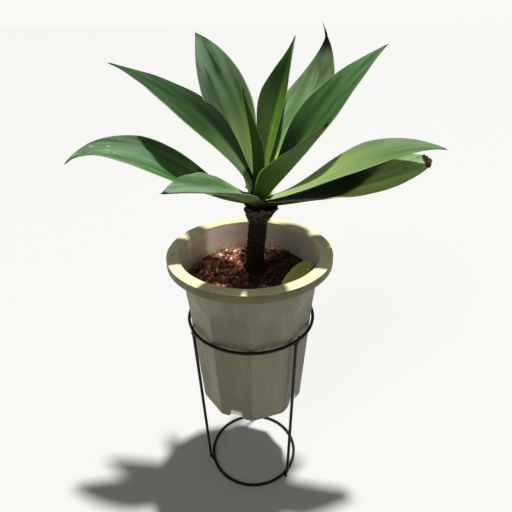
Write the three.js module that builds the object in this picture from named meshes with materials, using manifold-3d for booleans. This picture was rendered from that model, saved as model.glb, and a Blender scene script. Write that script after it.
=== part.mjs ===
// A potted agave: eleven broad leaves on a short bare trunk, in a ten-sided plastic pot that hangs in
// the hoop of a three-legged wire stand. Millimetres, +Z up, standing on Z = 0. -Y is the front.
import * as THREE from 'three';
import { mergeVertices } from 'three/addons/utils/BufferGeometryUtils.js';
import Module from 'manifold-3d';

const wasm = await Module();
wasm.setup();

// ---- driving dimensions ------------------------------------------------------------------------
const SEAT_GAP = 0.3;              // clearance between pieces that touch
const CUT_TOLERANCE = 0.04;        // details below this size are smoothed away after a cut
const WELD_DISTANCE = 0.01;        // corners nearer than this become one
const CUTTER_MARGIN = 0.15;        // added to the gap where one leaf cuts the next

// pot
const RIM_RADIUS = 125;            // outside of the flange
const RIM_TOP = 451;               // height of the flat rim above the floor
const SKIRT_DROP = 12.5;           // the lip that turns down from the flange
const POT_BOTTOM = 176.5;
const WALL = 2.6;                  // moulded wall, flange and lip
const BODY_TOP_RADIUS = 108.7;     // round cone, at the underside of the rim
const BODY_SHOULDER_RADIUS = 102;  // where the facets end and the cone flares more
const BODY_BASE_RADIUS = 87;       // the cone carried down to the bottom edge
const BASE_ROUNDING = 6;           // the bottom edge is rounded in
const FACETS = 10;
const FACET_FULL_TOP = 372;        // the facets have sharp corners below this height
const FACET_ARCH_TOP = 402;        // and close in an arch here
const FLOOR_RECESS = 5;            // floor raised above the bottom edge
const NOTCHES = 5;
const NOTCH_WIDTH = 20;
const NOTCH_HEIGHT = 9;
const NOTCH_DEPTH = 24;            // measured inwards from the bottom edge
const FIRST_NOTCH = -18;           // degrees from the front, + to the right

// soil
const SOIL_EDGE = 406;
const SOIL_CROWN = 413;            // mounded in the middle
const CRUMB_HEIGHT = 2.2;
const SOIL_SHRINK = 0.7;           // the soil has drawn back this far from the wall

// trunk
const TRUNK_RADIUS = 13.5;
const TRUNK_FOOT = 378;            // end of the trunk in its hole in the soil
const TRUNK_TOP = 562;
const HEART_RADII = [12.5, 4];     // the trunk's end between the leaf bases, at its foot and top
const TRUNK_LEAN = 0.055;          // mm to the right for each mm of height
const TRUNK_X_AT_SOIL = 3.7;       // trunk centre where it leaves the soil
const SCAR_PITCH = 8;              // rings left by shed leaves
const COLLAR_BOTTOM = 503;
const COLLAR_TOP = 524;
const COLLAR_RADIUS = 24;
const COLLAR_SHIFT = 5;            // it flares more to the right
const COLLAR_RAGGED = 4;           // unevenness of its points

// stand
const WIRE = 5;                    // wire diameter
const HOOP_HEIGHT = 335;
const FOOT_RING_RADIUS = 79.5;
const KNEE_OUT = 4;                // the legs' lower bends stand this far out and up from their ends
const KNEE_BEND = 5;
const LEG_AZIMUTHS = {             // degrees from the front, + to the right: top end and foot
  left: { top: -67.5, foot: -75.5 },
  right: { top: 42, foot: 50.5 },
  back: { top: 170, foot: 170 },
};

// The leaves, from the heart of the rosette outward. azimuth is counter-clockwise from the right-hand
// side (+X) seen from above and swings by swing along the leaf. rise is the slope above the horizon
// at base and tip, bow what is added to it half way. roll turns the blade about its midrib at base and
// tip, cup folds it up about the midrib. seat is the height and offset the distance from the crown's
// axis where the leaf starts. neck is the width at the base over the greatest width, which lies at
// belly along the leaf, and a smaller taper draws the tip out longer. keep is the part of the length
// that is left where a tip was cut off.
const LEAVES = {
  spear: { azimuth: 208.5, swing: -9.6, rise: [102, 82.2], bow: -11, length: 138.5, width: 41.5,
    roll: [10.6, -15.4], cup: 25, seat: 545, offset: 4, neck: 0.53, belly: 0.5, taper: 1.81 },
  upper_left: { azimuth: 154.1, swing: 2.6, rise: [61, 13.4], bow: -4, length: 280.5, width: 70,
    roll: [-23.8, 4], cup: 8.5, seat: 550.5, offset: 5.5, neck: 0.2, belly: 0.5, taper: 1.49 },
  tall_middle: { azimuth: 70.3, swing: 4.2, rise: [51.4, 36.8], bow: -3.8, length: 277.5, width: 65.5,
    roll: [10.4, -61.4], cup: 47.5, seat: 548.5, offset: 10.5, neck: 0.33, belly: 0.58, taper: 1.8 },
  tall_right: { azimuth: 60, swing: -26.2, rise: [39.6, 95.8], bow: -25, length: 260.5, width: 79,
    roll: [20.2, 14.8], cup: 22, seat: 545, offset: 10.5, neck: 0.53, belly: 0.6, taper: 1.45 },
  tall_left: { azimuth: 117.1, swing: 4.4, rise: [60.4, 30.6], bow: 4.4, length: 267, width: 69,
    roll: [-11.6, -29.6], cup: 14.5, seat: 542.5, offset: 7.5, neck: 0.28, belly: 0.5, taper: 1.9 },
  upper_right: { azimuth: 27.7, swing: -2, rise: [45, 30.2], bow: 9, length: 271, width: 72.5,
    roll: [23, 0.8], cup: 28.5, seat: 538, offset: 13.5, neck: 0.21, belly: 0.51, taper: 1.65 },
  front_right: { azimuth: 293.1, swing: 2.4, rise: [43.2, 43.4], bow: -3.4, length: 211.5, width: 67.5,
    roll: [5, 22.4], cup: 30, seat: 531, offset: 10, neck: 0.4, belly: 0.56, taper: 1.89 },
  far_left: { azimuth: 176, swing: 0.2, rise: [3.2, -41], bow: 44.8, length: 278, width: 75,
    roll: [-17.6, -17], cup: 28, seat: 530, offset: 10, neck: 0.35, belly: 0.54, taper: 1.55 },
  front_left: { azimuth: 251.3, swing: -10, rise: [28, 11], bow: 5, length: 231, width: 68,
    roll: [-20.6, -11.2], cup: 29, seat: 529, offset: 8.5, neck: 0.48, belly: 0.5, taper: 1.7 },
  right: { azimuth: 354.4, swing: 8.8, rise: [10.4, -15.6], bow: 28.2, length: 260.5, width: 70.5,
    roll: [3.8, 15], cup: 23, seat: 530.5, offset: 10.5, neck: 0.21, belly: 0.61, taper: 1.24 },
  cut_right: { azimuth: 351.2, swing: 21.2, rise: [5, 4.6], bow: 13.8, length: 246, width: 75.5,
    roll: [-12.2, 40.2], cup: 14.5, seat: 526.5, offset: 15, neck: 0.42, belly: 0.54, taper: 1.8, keep: 0.93 },
};
const LEAF_ROOT = 9;               // how far the leaf's base runs on towards the trunk's axis
const LEAF_BASE_THICKNESS = 8;
const LEAF_TIP_THICKNESS = 2.2;
const LEAF_EDGE = 1.3;             // thickness at the margin
const LEAF_TIP_HALF_WIDTH = 1.5;
const LEAF_STATIONS = 13;
const BLADE_COLUMNS = [-1, -0.5, 0, 0.5, 1];

// fallen piece of an old leaf, lying on the soil against the wall
const FALLEN = { from: [44, -60, 410.6], to: [91, 1, 428.5], width: 34, thickness: 2.4, tilt: 10 };
const FALLEN_WIDTHS = [0.3, 0.62, 0.85, 0.98, 1, 0.93, 0.72, 0.25];  // shares of width, front to far end

const PLASTIC = new THREE.Color('#e9e3c8');
const SOIL_BROWN = new THREE.Color('#5a3a28');
const BARK_BROWN = new THREE.Color('#3a2c20');
const COLLAR_BROWN = new THREE.Color('#211b14');
const LEAF_GREEN = new THREE.Color('#6f8f5c');
const OLD_LEAF = new THREE.Color('#8a8440');
const ENAMEL = new THREE.Color('#1c140d');

// ---- helpers -----------------------------------------------------------------------------------
const radians = THREE.MathUtils.degToRad;
const { lerp, clamp } = THREE.MathUtils;

/** Builds a closed geometry from corner points and triangles given as index triples. */
function geometryFrom(points, triangles) {
  const geometry = new THREE.BufferGeometry();
  geometry.setAttribute('position', new THREE.Float32BufferAttribute(points.flat(), 3));
  geometry.setIndex(triangles.flat());
  return geometry;
}

/** Turns a closed geometry into a solid that can be cut and joined. */
function toSolid(geometry) {
  const bare = geometry.clone();
  bare.deleteAttribute('normal');
  bare.deleteAttribute('uv');
  const merged = mergeVertices(bare.index ? bare : mergeVertices(bare), 1e-4);
  return new wasm.Manifold(new wasm.Mesh({
    numProp: 3,
    vertProperties: new Float32Array(merged.attributes.position.array),
    triVerts: new Uint32Array(merged.index.array),
  }));
}

/** Drops the triangles that welding closed up: a corner used twice, or two faces back to back. */
function withoutSlivers(geometry) {
  const corners = geometry.index.array;
  const faces = new Map();
  for (let i = 0; i < corners.length; i += 3) {
    const face = [corners[i], corners[i + 1], corners[i + 2]];
    if (new Set(face).size < 3) continue;
    const key = face.slice().sort((a, b) => a - b).join();
    if (faces.has(key)) faces.delete(key);
    else faces.set(key, face);
  }
  geometry.setIndex([...faces.values()].flat());
  return geometry;
}

/** Turns a solid back into a geometry, keeping only its largest body. */
function toGeometry(solid) {
  const bodies = solid.simplify(CUT_TOLERANCE).decompose();
  bodies.sort((a, b) => b.volume() - a.volume());
  const mesh = bodies[0].getMesh();
  const geometry = new THREE.BufferGeometry();
  geometry.setAttribute('position', new THREE.BufferAttribute(new Float32Array(mesh.vertProperties), 3));
  geometry.setIndex(new THREE.BufferAttribute(new Uint32Array(mesh.triVerts), 1));
  return withoutSlivers(mergeVertices(geometry, WELD_DISTANCE));
}

/**
 * Skins rings of equal point counts into one closed body; every ring runs the same way round.
 * Each four-sided patch is split along the shorter diagonal of the same patch in the guide rings.
 */
function skin(rings, guide = rings) {
  const count = rings[0].length;
  const points = rings.flat();
  const marks = guide.flat();
  const span = (i, j) => Math.hypot(...marks[i].map((value, axis) => value - marks[j][axis]));
  const triangles = [];
  for (let i = 0; i + 1 < rings.length; i += 1) {
    for (let j = 0; j < count; j += 1) {
      const a = i * count + j;
      const b = i * count + ((j + 1) % count);
      const [c, d] = [b + count, a + count];
      if (span(a, c) < span(b, d)) triangles.push([a, b, c], [a, c, d]);
      else triangles.push([a, b, d], [b, c, d]);
    }
  }
  const last = (rings.length - 1) * count;
  for (let j = 1; j + 1 < count; j += 1) {
    triangles.push([0, j + 1, j], [last, last + j, last + j + 1]);
  }
  return geometryFrom(points, triangles);
}

/** A small repeatable number between 0 and 1 for a pair of whole numbers. */
function scatter(i, j) {
  const value = Math.sin(i * 127.1 + j * 311.7) * 43758.5453;
  return value - Math.floor(value);
}

/** Point at a radius, an azimuth in degrees from the front (+ to the right) and a height. */
function fromFront(radius, azimuth, height) {
  const angle = radians(azimuth);
  return new THREE.Vector3(radius * Math.sin(angle), -radius * Math.cos(angle), height);
}

// ---- pot ---------------------------------------------------------------------------------------
const RIM_UNDERSIDE = RIM_TOP - WALL;
const FACET_HALF = 180 / FACETS;
const POT_FLOOR = POT_BOTTOM + FLOOR_RECESS + WALL;
const FLOOR_HUB = 25;              // radius of the innermost ring of the floor
const BASE_ROWS = [0.15, 0.45, 1].map((share) => POT_BOTTOM + BASE_ROUNDING * share);
const WALL_COLUMNS = FACETS * 4;
const ARCH_ROWS = [0, 0.6, 0.9, 1].map((s) => lerp(FACET_FULL_TOP, FACET_ARCH_TOP, s));

/** Radius of the round cone that the facets are cut into, rounded in at the bottom edge. */
function coneRadius(height) {
  if (height > FACET_ARCH_TOP) {
    const flare = (height - FACET_ARCH_TOP) / (RIM_UNDERSIDE - FACET_ARCH_TOP);
    return lerp(BODY_SHOULDER_RADIUS, BODY_TOP_RADIUS, flare);
  }
  const above = height - POT_BOTTOM;
  const under = clamp(1 - above / BASE_ROUNDING, 0, 1);
  const rounding = BASE_ROUNDING * (1 - Math.sqrt(1 - under * under));
  const share = above / (FACET_ARCH_TOP - POT_BOTTOM);
  return lerp(BODY_BASE_RADIUS, BODY_SHOULDER_RADIUS, share) - rounding;
}

/** Outer radius of the body: the round cone, cut back to flat facets that end in arches. */
function bodyRadius(azimuth, height) {
  const rise = clamp((height - FACET_FULL_TOP) / (FACET_ARCH_TOP - FACET_FULL_TOP), 0, 1);
  const halfWidth = FACET_HALF * Math.sqrt(1 - rise * rise);
  const fromMiddle = THREE.MathUtils.euclideanModulo(azimuth, 2 * FACET_HALF) - FACET_HALF;
  const cone = coneRadius(height);
  const flat = (cone * Math.cos(radians(halfWidth))) / Math.cos(radians(fromMiddle));
  return Math.min(cone, flat);
}

function potShell() {
  const rings = [];
  const addRing = (radiusAt, height) => {
    const ring = [];
    for (let k = 0; k < WALL_COLUMNS; k += 1) {
      const azimuth = (360 * k) / WALL_COLUMNS;
      ring.push(fromFront(radiusAt(azimuth), azimuth, height).toArray());
    }
    rings.push(ring);
  };
  const outer = (height) => addRing((azimuth) => bodyRadius(azimuth, height), height);
  const inner = (height) => addRing((azimuth) => bodyRadius(azimuth, height) - WALL, height);
  const round = (radius, height) => addRing(() => radius, height);

  round(FLOOR_HUB, POT_BOTTOM + FLOOR_RECESS);
  inner(POT_BOTTOM + FLOOR_RECESS);
  inner(POT_BOTTOM);
  BASE_ROWS.forEach(outer);
  ARCH_ROWS.forEach(outer);
  outer(RIM_UNDERSIDE);
  round(RIM_RADIUS - WALL, RIM_UNDERSIDE);
  round(RIM_RADIUS - WALL, RIM_TOP - SKIRT_DROP);
  round(RIM_RADIUS, RIM_TOP - SKIRT_DROP);
  round(RIM_RADIUS, RIM_TOP - 0.8);
  round(RIM_RADIUS - 0.8, RIM_TOP);
  round(BODY_TOP_RADIUS - WALL, RIM_TOP);
  ARCH_ROWS.slice().reverse().forEach(inner);
  inner(POT_FLOOR);
  round(FLOOR_HUB, POT_FLOOR);
  return skin(rings);
}

/** An arched tunnel through the bottom edge, along the direction of one facet's middle. */
function drainNotch(azimuth) {
  const half = NOTCH_WIDTH / 2;
  const arch = new THREE.Shape();
  arch.moveTo(-half, -2);
  arch.lineTo(half, -2);
  arch.absellipse(0, 0, half, NOTCH_HEIGHT, 0, Math.PI, false);
  arch.closePath();
  const options = { depth: NOTCH_DEPTH, bevelEnabled: false, curveSegments: 8 };
  const tunnel = new THREE.ExtrudeGeometry(arch, options);
  tunnel.rotateX(Math.PI / 2);
  tunnel.translate(0, NOTCH_DEPTH - BODY_BASE_RADIUS, POT_BOTTOM);
  tunnel.rotateZ(radians(azimuth));
  return toSolid(tunnel);
}

function pot() {
  let body = toSolid(potShell());
  for (let k = 0; k < NOTCHES; k += 1) {
    body = body.subtract(drainNotch(FIRST_NOTCH + (360 * k) / NOTCHES));
  }
  return toGeometry(body);
}

// ---- trunk and collar --------------------------------------------------------------------------
function trunkX(height) {
  return TRUNK_X_AT_SOIL + (height - SOIL_EDGE) * TRUNK_LEAN;
}

/** Trunk radius: ringed bark up to the crown, then a tapering heart between the leaf bases. */
function trunkRadius(height) {
  if (height > COLLAR_BOTTOM) {
    const share = (height - COLLAR_BOTTOM) / (TRUNK_TOP - COLLAR_BOTTOM);
    return lerp(HEART_RADII[0], HEART_RADII[1], share ** 1.4);
  }
  const ring = Math.cos((2 * Math.PI * (height - TRUNK_FOOT)) / SCAR_PITCH);
  return TRUNK_RADIUS + 0.5 * ring;
}

/** A round body up the leaning trunk axis, from a list of heights and a radius at each. */
function leaningLathe(heights, radiusAt, sides, shiftAt = () => 0) {
  const rings = heights.map((height, i) => {
    const ring = [];
    for (let k = 0; k < sides; k += 1) {
      const angle = (2 * Math.PI * k) / sides;
      const radius = radiusAt(height, k, i);
      ring.push([trunkX(height) + shiftAt(i) + radius * Math.cos(angle), radius * Math.sin(angle), height]);
    }
    return ring;
  });
  return skin(rings);
}

function trunk(grow = 0) {
  const heights = [];
  for (let height = TRUNK_FOOT; height < COLLAR_BOTTOM; height += SCAR_PITCH / 2) heights.push(height);
  for (let k = 0; k <= 5; k += 1) heights.push(lerp(COLLAR_BOTTOM, TRUNK_TOP, k / 5));
  heights[0] -= grow;
  heights[heights.length - 1] += grow;
  return leaningLathe(heights, (height) => trunkRadius(height) + grow, 12);
}

/** Dead leaf bases under the rosette: a ragged flare with uneven points. */
function collar(grow = 0) {
  const levels = [0, 0.35, 0.75, 1].map((share) => lerp(COLLAR_BOTTOM - grow, COLLAR_TOP + grow, share));
  const flare = leaningLathe(levels, (height, k, i) => {
    const share = i / (levels.length - 1);
    const ragged = i === 0 ? 0 : (scatter(k, i) - 0.5) * COLLAR_RAGGED;
    return lerp(TRUNK_RADIUS + WALL, COLLAR_RADIUS, share ** 0.7) + ragged + grow;
  }, 22, (i) => (COLLAR_SHIFT * i) / (levels.length - 1));
  return toSolid(flare);
}

// ---- leaves ------------------------------------------------------------------------------------
/** Half width over the greatest half width, at a share of the leaf's length. */
function outline(share, leaf) {
  if (share < leaf.belly) {
    const swell = 0.5 - 0.5 * Math.cos((Math.PI * Math.max(share, 0)) / leaf.belly);
    return lerp(leaf.neck, 1, swell);
  }
  const past = (share - leaf.belly) / (1 - leaf.belly);
  return Math.max(1 - past ** leaf.taper, 0);
}

/** Midrib point, direction, sideways and upward directions of a leaf, at equal steps of what is kept. */
function midrib(leaf, steps) {
  const keep = leaf.keep ?? 1;
  const start = radians(leaf.azimuth);
  const crown = new THREE.Vector3(trunkX(leaf.seat), 0, leaf.seat);
  const point = crown.add(new THREE.Vector3(Math.cos(start), Math.sin(start), 0).multiplyScalar(leaf.offset));
  const directionAt = (share) => {
    const around = radians(leaf.azimuth + leaf.swing * share);
    const up = radians(lerp(leaf.rise[0], leaf.rise[1], share) + leaf.bow * 4 * share * (1 - share));
    return new THREE.Vector3(Math.cos(up) * Math.cos(around), Math.cos(up) * Math.sin(around), Math.sin(up));
  };
  const frames = [];
  for (let i = 0; i <= steps; i += 1) {
    const share = (keep * i) / steps;
    const along = directionAt(share);
    const around = radians(leaf.azimuth + leaf.swing * share);
    const flat = new THREE.Vector3(-Math.sin(around), Math.cos(around), 0);
    const roll = radians(lerp(leaf.roll[0], leaf.roll[1], share));
    const side = flat.applyAxisAngle(along, roll);
    const up = new THREE.Vector3().crossVectors(along, side);
    frames.push({ share, point: point.clone(), along, side, up });
    point.addScaledVector(directionAt((keep * (i + 0.5)) / steps), (keep * leaf.length) / steps);
  }
  return frames;
}

/** Rings of corners round one leaf's blade from base to tip. grow makes it larger all round. */
function bladeRings(leaf, grow) {
  const frames = midrib(leaf, LEAF_STATIONS);
  const base = frames[0].point.clone().addScaledVector(frames[0].along, -LEAF_ROOT - grow);
  const root = { ...frames[0], point: base };
  const stations = [root, ...frames];
  const last = stations[stations.length - 1];
  last.point = last.point.clone().addScaledVector(last.along, grow);
  return stations.map((frame) => {
    const half = Math.max((leaf.width / 2) * outline(frame.share, leaf), LEAF_TIP_HALF_WIDTH) + grow;
    const fold = radians(leaf.cup * (1 - 0.6 * frame.share));
    const core = lerp(LEAF_BASE_THICKNESS, LEAF_TIP_THICKNESS, frame.share ** 0.6);
    const corner = (column, face) => {
      const thickness = lerp(core, LEAF_EDGE, column * column) + 2 * grow;
      const lift = half * Math.sin(fold) * Math.abs(column) ** 1.6 + (face * thickness) / 2;
      return frame.point.clone()
        .addScaledVector(frame.side, half * Math.cos(fold) * column)
        .addScaledVector(frame.up, lift)
        .toArray();
    };
    const upper = BLADE_COLUMNS.map((column) => corner(column, 1));
    const lower = BLADE_COLUMNS.map((column) => corner(column, -1)).reverse();
    return [...upper, ...lower].reverse();
  });
}

/** Closed blade of one leaf; a grown one, for cutting its neighbours clear, is split the same way. */
function leafBlade(leaf, grow = 0) {
  return skin(bladeRings(leaf, grow), bladeRings(leaf, 0));
}

/** All leaves, each cut clear of the trunk, the collar and the leaves nearer the heart. */
function leafSolids(trunkCutter) {
  const cutters = [trunkCutter, collar(SEAT_GAP)];
  const solids = {};
  for (const [name, leaf] of Object.entries(LEAVES)) {
    let solid = toSolid(leafBlade(leaf));
    for (const cutter of cutters) solid = solid.subtract(cutter);
    solids[name] = solid;
    cutters.push(toSolid(leafBlade(leaf, SEAT_GAP + CUTTER_MARGIN)));
  }
  return solids;
}

// ---- fallen leaf piece -------------------------------------------------------------------------
/** A flat piece of leaf: round at the far end, tapering to a torn end at the front. */
function fallenPiece(grow = 0) {
  const from = new THREE.Vector3(...FALLEN.from);
  const to = new THREE.Vector3(...FALLEN.to);
  const along = to.clone().sub(from).normalize();
  const level = new THREE.Vector3(along.y, -along.x, 0).normalize();
  const side = level.applyAxisAngle(along, -radians(FALLEN.tilt));
  const up = new THREE.Vector3().crossVectors(side, along);
  const length = from.distanceTo(to);
  const last = FALLEN_WIDTHS.length - 1;
  const rings = FALLEN_WIDTHS.map((width, i) => {
    const share = 1 - (1 - i / last) ** 1.3;
    const half = (FALLEN.width / 2) * width + grow;
    let end = 0;
    if (i === 0) end = -grow;
    if (i === last) end = grow;
    const centre = from.clone().addScaledVector(along, length * share + end);
    const thick = FALLEN.thickness / 2 + grow;
    return [[-1, 1], [0, 1.6], [1, 1], [1, -1], [-1, -1]].map(([s, t]) => centre.clone()
      .addScaledVector(side, s * half).addScaledVector(up, t * thick).toArray());
  });
  return skin(rings);
}

// ---- soil --------------------------------------------------------------------------------------
/** Crumbly soil filling the pot, with holes for the trunk and the fallen piece. */
function soil(trunkCutter) {
  const rows = 11;
  const edge = (azimuth, height) => bodyRadius(azimuth, height) - WALL - SOIL_SHRINK;
  const rings = [];
  const ringAt = (radiusAt, heightAt) => {
    const ring = [];
    for (let k = 0; k < WALL_COLUMNS; k += 1) {
      const azimuth = (360 * k) / WALL_COLUMNS;
      ring.push(fromFront(radiusAt(azimuth, k), azimuth, heightAt(k)).toArray());
    }
    rings.push(ring);
  };
  for (const height of [POT_FLOOR + SEAT_GAP, ...ARCH_ROWS]) {
    ringAt((azimuth) => edge(azimuth, height), () => height);
  }
  for (let i = 0; i < rows; i += 1) {
    const share = 1 - i / rows;
    const mound = lerp(SOIL_CROWN, SOIL_EDGE, share * share);
    ringAt(
      (azimuth, k) => edge(azimuth, SOIL_EDGE) * share - (i === 0 ? 0 : 3 * scatter(k, i)),
      (k) => mound + CRUMB_HEIGHT * (scatter(i, k) - 0.5),
    );
  }
  return toSolid(skin(rings)).subtract(trunkCutter).subtract(toSolid(fallenPiece(SEAT_GAP)));
}

// ---- stand -------------------------------------------------------------------------------------
const HOOP_RADIUS = coneRadius(HOOP_HEIGHT) + SEAT_GAP + WIRE / 2;

/** A horizontal ring of wire with flats at the top and bottom of its eight-sided section. */
function wireRing(radius, height) {
  const corner = WIRE / 2 / Math.cos(Math.PI / 8);
  const section = [];
  for (let k = 0; k <= 8; k += 1) {
    const angle = Math.PI / 8 + (Math.PI * (k % 8)) / 4;
    section.push(new THREE.Vector2(radius + corner * Math.cos(angle), height + corner * Math.sin(angle)));
  }
  return new THREE.LatheGeometry(section, 48).rotateX(Math.PI / 2);
}

/** A leg: from under the hoop down to a knee outside the foot ring, and in to the ring. */
function leg({ top, foot }) {
  const across = Math.SQRT1_2 * (WIRE / 2 + SEAT_GAP);
  const end = fromFront(FOOT_RING_RADIUS + across, foot, WIRE / 2 + across);
  const knee = fromFront(FOOT_RING_RADIUS + across + KNEE_OUT, foot, WIRE / 2 + across + KNEE_OUT);
  const shoulder = fromFront(HOOP_RADIUS, top, HOOP_HEIGHT - WIRE / 2 - SEAT_GAP);
  const straightEnd = shoulder.clone().sub(knee).setLength(KNEE_BEND).add(knee);
  const bend = new THREE.QuadraticBezierCurve3(straightEnd, knee, end);
  const points = [shoulder, ...[0, 0.35, 0.7, 1].map((share) => bend.getPoint(share))];
  const rings = points.map((point, i) => {
    const before = points[Math.max(i - 1, 0)];
    const after = points[Math.min(i + 1, points.length - 1)];
    const along = after.clone().sub(before).normalize();
    const outward = fromFront(1, foot, 0).projectOnPlane(along).normalize();
    const side = new THREE.Vector3().crossVectors(along, outward);
    const ring = [];
    for (let k = 0; k < 8; k += 1) {
      const angle = (Math.PI * k) / 4;
      ring.push(point.clone().addScaledVector(outward, (WIRE / 2) * Math.cos(angle))
        .addScaledVector(side, (WIRE / 2) * Math.sin(angle)).toArray());
    }
    return ring;
  });
  return skin(rings);
}

// ---- assembly ----------------------------------------------------------------------------------
const plant = new THREE.Group();

function addPiece(name, geometry, color, roughness, metalness = 0) {
  const material = new THREE.MeshStandardMaterial({ color, roughness, metalness });
  const mesh = new THREE.Mesh(geometry, material);
  mesh.name = name;
  plant.add(mesh);
}

addPiece('stand_hoop', wireRing(HOOP_RADIUS, HOOP_HEIGHT), ENAMEL, 0.4, 0.3);
addPiece('stand_foot_ring', wireRing(FOOT_RING_RADIUS, WIRE / 2), ENAMEL, 0.4, 0.3);
for (const [side, azimuths] of Object.entries(LEG_AZIMUTHS)) {
  addPiece(`stand_leg_${side}`, leg(azimuths), ENAMEL, 0.4, 0.3);
}
addPiece('pot', pot(), PLASTIC, 0.5);

const trunkCutter = toSolid(trunk(SEAT_GAP));
addPiece('soil', toGeometry(soil(trunkCutter)), SOIL_BROWN, 0.95);
addPiece('fallen_leaf_piece', fallenPiece(), OLD_LEAF, 0.6);
addPiece('trunk', trunk(), BARK_BROWN, 0.9);

addPiece('collar', toGeometry(collar().subtract(trunkCutter)), COLLAR_BROWN, 0.95);
for (const [name, solid] of Object.entries(leafSolids(trunkCutter))) {
  addPiece(`leaf_${name}`, toGeometry(solid), LEAF_GREEN, 0.55);
}

// The whole is moved sideways so that the middle of its bounding box stands over the origin.
const box = new THREE.Box3().setFromObject(plant);
plant.position.set(-(box.min.x + box.max.x) / 2, -(box.min.y + box.max.y) / 2, 0);

export default plant;
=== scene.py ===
"""The looks of a potted agave: broad grey-green leaves on a bare trunk, a faceted cream pot, a wire stand.

Sizes are in millimetres from the pot's axis, with +X to the right of the photograph's view and -Y towards it.
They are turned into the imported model's frame, in metres, where each mesh is made.
"""

from __future__ import annotations

import logging
import math
from collections.abc import Callable, Sequence
from dataclasses import dataclass, field
from enum import Enum
from functools import partial
from typing import Any

import bpy
import numpy as np
from mathutils import Matrix, Vector, noise


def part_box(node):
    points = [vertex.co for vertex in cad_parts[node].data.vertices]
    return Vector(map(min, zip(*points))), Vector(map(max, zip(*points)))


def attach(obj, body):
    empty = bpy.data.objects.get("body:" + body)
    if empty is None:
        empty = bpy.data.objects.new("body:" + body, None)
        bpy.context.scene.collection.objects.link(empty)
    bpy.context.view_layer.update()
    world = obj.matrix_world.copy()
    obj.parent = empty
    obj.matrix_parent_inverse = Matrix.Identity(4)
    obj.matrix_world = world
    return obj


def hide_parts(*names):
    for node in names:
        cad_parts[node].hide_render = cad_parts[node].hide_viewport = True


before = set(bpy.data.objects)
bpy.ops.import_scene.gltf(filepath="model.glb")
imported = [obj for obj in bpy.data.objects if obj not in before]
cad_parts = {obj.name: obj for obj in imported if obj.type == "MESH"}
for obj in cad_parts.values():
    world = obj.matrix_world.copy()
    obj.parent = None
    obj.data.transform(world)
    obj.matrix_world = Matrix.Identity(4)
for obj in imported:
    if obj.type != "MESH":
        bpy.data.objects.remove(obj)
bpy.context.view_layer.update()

LOG = logging.getLogger("potted_agave")
BODY = "root"
MM = 0.001

Array = np.ndarray
Face = tuple[int, ...]
Adder = Callable[..., bpy.types.Node]

# The kinds of node that come up most, and two of their settings. A range takes its value, then what it runs from
# and to, then what it gives; a noise its place, scale, detail and roughness; a mix its factor and two values.
MATH, VECTOR, MIX, RANGE = "ShaderNodeMath", "ShaderNodeVectorMath", "ShaderNodeMix", "ShaderNodeMapRange"
NOISE, BUMP, RAMP = "ShaderNodeTexNoise", "ShaderNodeBump", "ShaderNodeValToRGB"
ATTRIBUTE, PLACE, MAPPING = "ShaderNodeAttribute", "ShaderNodeTexCoord", "ShaderNodeMapping"
SEPARATE, RANDOM, COMPARE = "ShaderNodeSeparateXYZ", "FunctionNodeRandomValue", "FunctionNodeCompare"
OBJECT, INSTANCES = "GeometryNodeObjectInfo", "GeometryNodeInstanceOnPoints"
REALIZE = "GeometryNodeRealizeInstances"
SMOOTH = {"interpolation_type": "SMOOTHSTEP"}
COLOUR = {"data_type": "RGBA"}


# ---- shared helpers ----
def pot_axis() -> Vector:
    """The point of the pot's axis at floor height, in the row frame, in metres."""
    low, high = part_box("pot")
    return Vector(((low.x + high.x) / 2, (low.y + high.y) / 2, 0.0))


def around(radius: float, azimuth: float, height: float) -> Vector:
    """A point at a radius, an azimuth in degrees from the front towards the right, and a height."""
    angle = math.radians(azimuth)
    return Vector((radius * math.sin(angle), -radius * math.cos(angle), height))


def wobble(x: float, y: float, z: float = 0.0) -> float:
    """Smooth repeatable noise from about -1 to 1."""
    return noise.noise(Vector((x, y, z)))


def between(value: float, low: float, high: float) -> float:
    """How far a value is on the way from one bound to another, from 0 to 1."""
    return min(max((value - low) / (high - low), 0.0), 1.0)


def linear(code: str) -> tuple[float, float, float, float]:
    """Turns an sRGB hex colour into linear values.

    Args:
        code: six hex digits after a hash.

    Returns:
        Red, green, blue and an alpha of 1.
    """
    values = [int(code[i : i + 2], 16) / 255 for i in (1, 3, 5)]
    bent = [v / 12.92 if v <= 0.04045 else ((v + 0.055) / 1.055) ** 2.4 for v in values]
    return (bent[0], bent[1], bent[2], 1.0)


def add_node(tree: bpy.types.NodeTree, kind: str, *inputs: Any, **named: Any) -> bpy.types.Node:
    """Adds a node, sets its properties and fills its sockets.

    Args:
        tree: the material's or geometry's node tree.
        kind: the node's type name.
        inputs: what goes into the sockets in use, in their order: a value, a hex colour, an output socket, a
            node (for its first output in use), or None to leave the socket as it is.
        named: the node's properties by their names in lower case, and inputs by theirs with a capital and
            underscores for spaces.

    Returns:
        The new node.
    """
    node = tree.nodes.new(kind)
    for name in [name for name in named if name.islower()]:
        setattr(node, name, named.pop(name))
    pairs = list(zip([socket for socket in node.inputs if socket.enabled], inputs))
    pairs += [(node.inputs[name.replace("_", " ")], value) for name, value in named.items()]
    for socket, value in pairs:
        if isinstance(value, bpy.types.Node):
            value = next(output for output in value.outputs if output.enabled)
        if isinstance(value, bpy.types.NodeSocket):
            tree.links.new(value, socket)
        elif value is not None:
            coloured = isinstance(value, str) and value.startswith("#")
            socket.default_value = linear(value) if coloured else value
    return node


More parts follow.
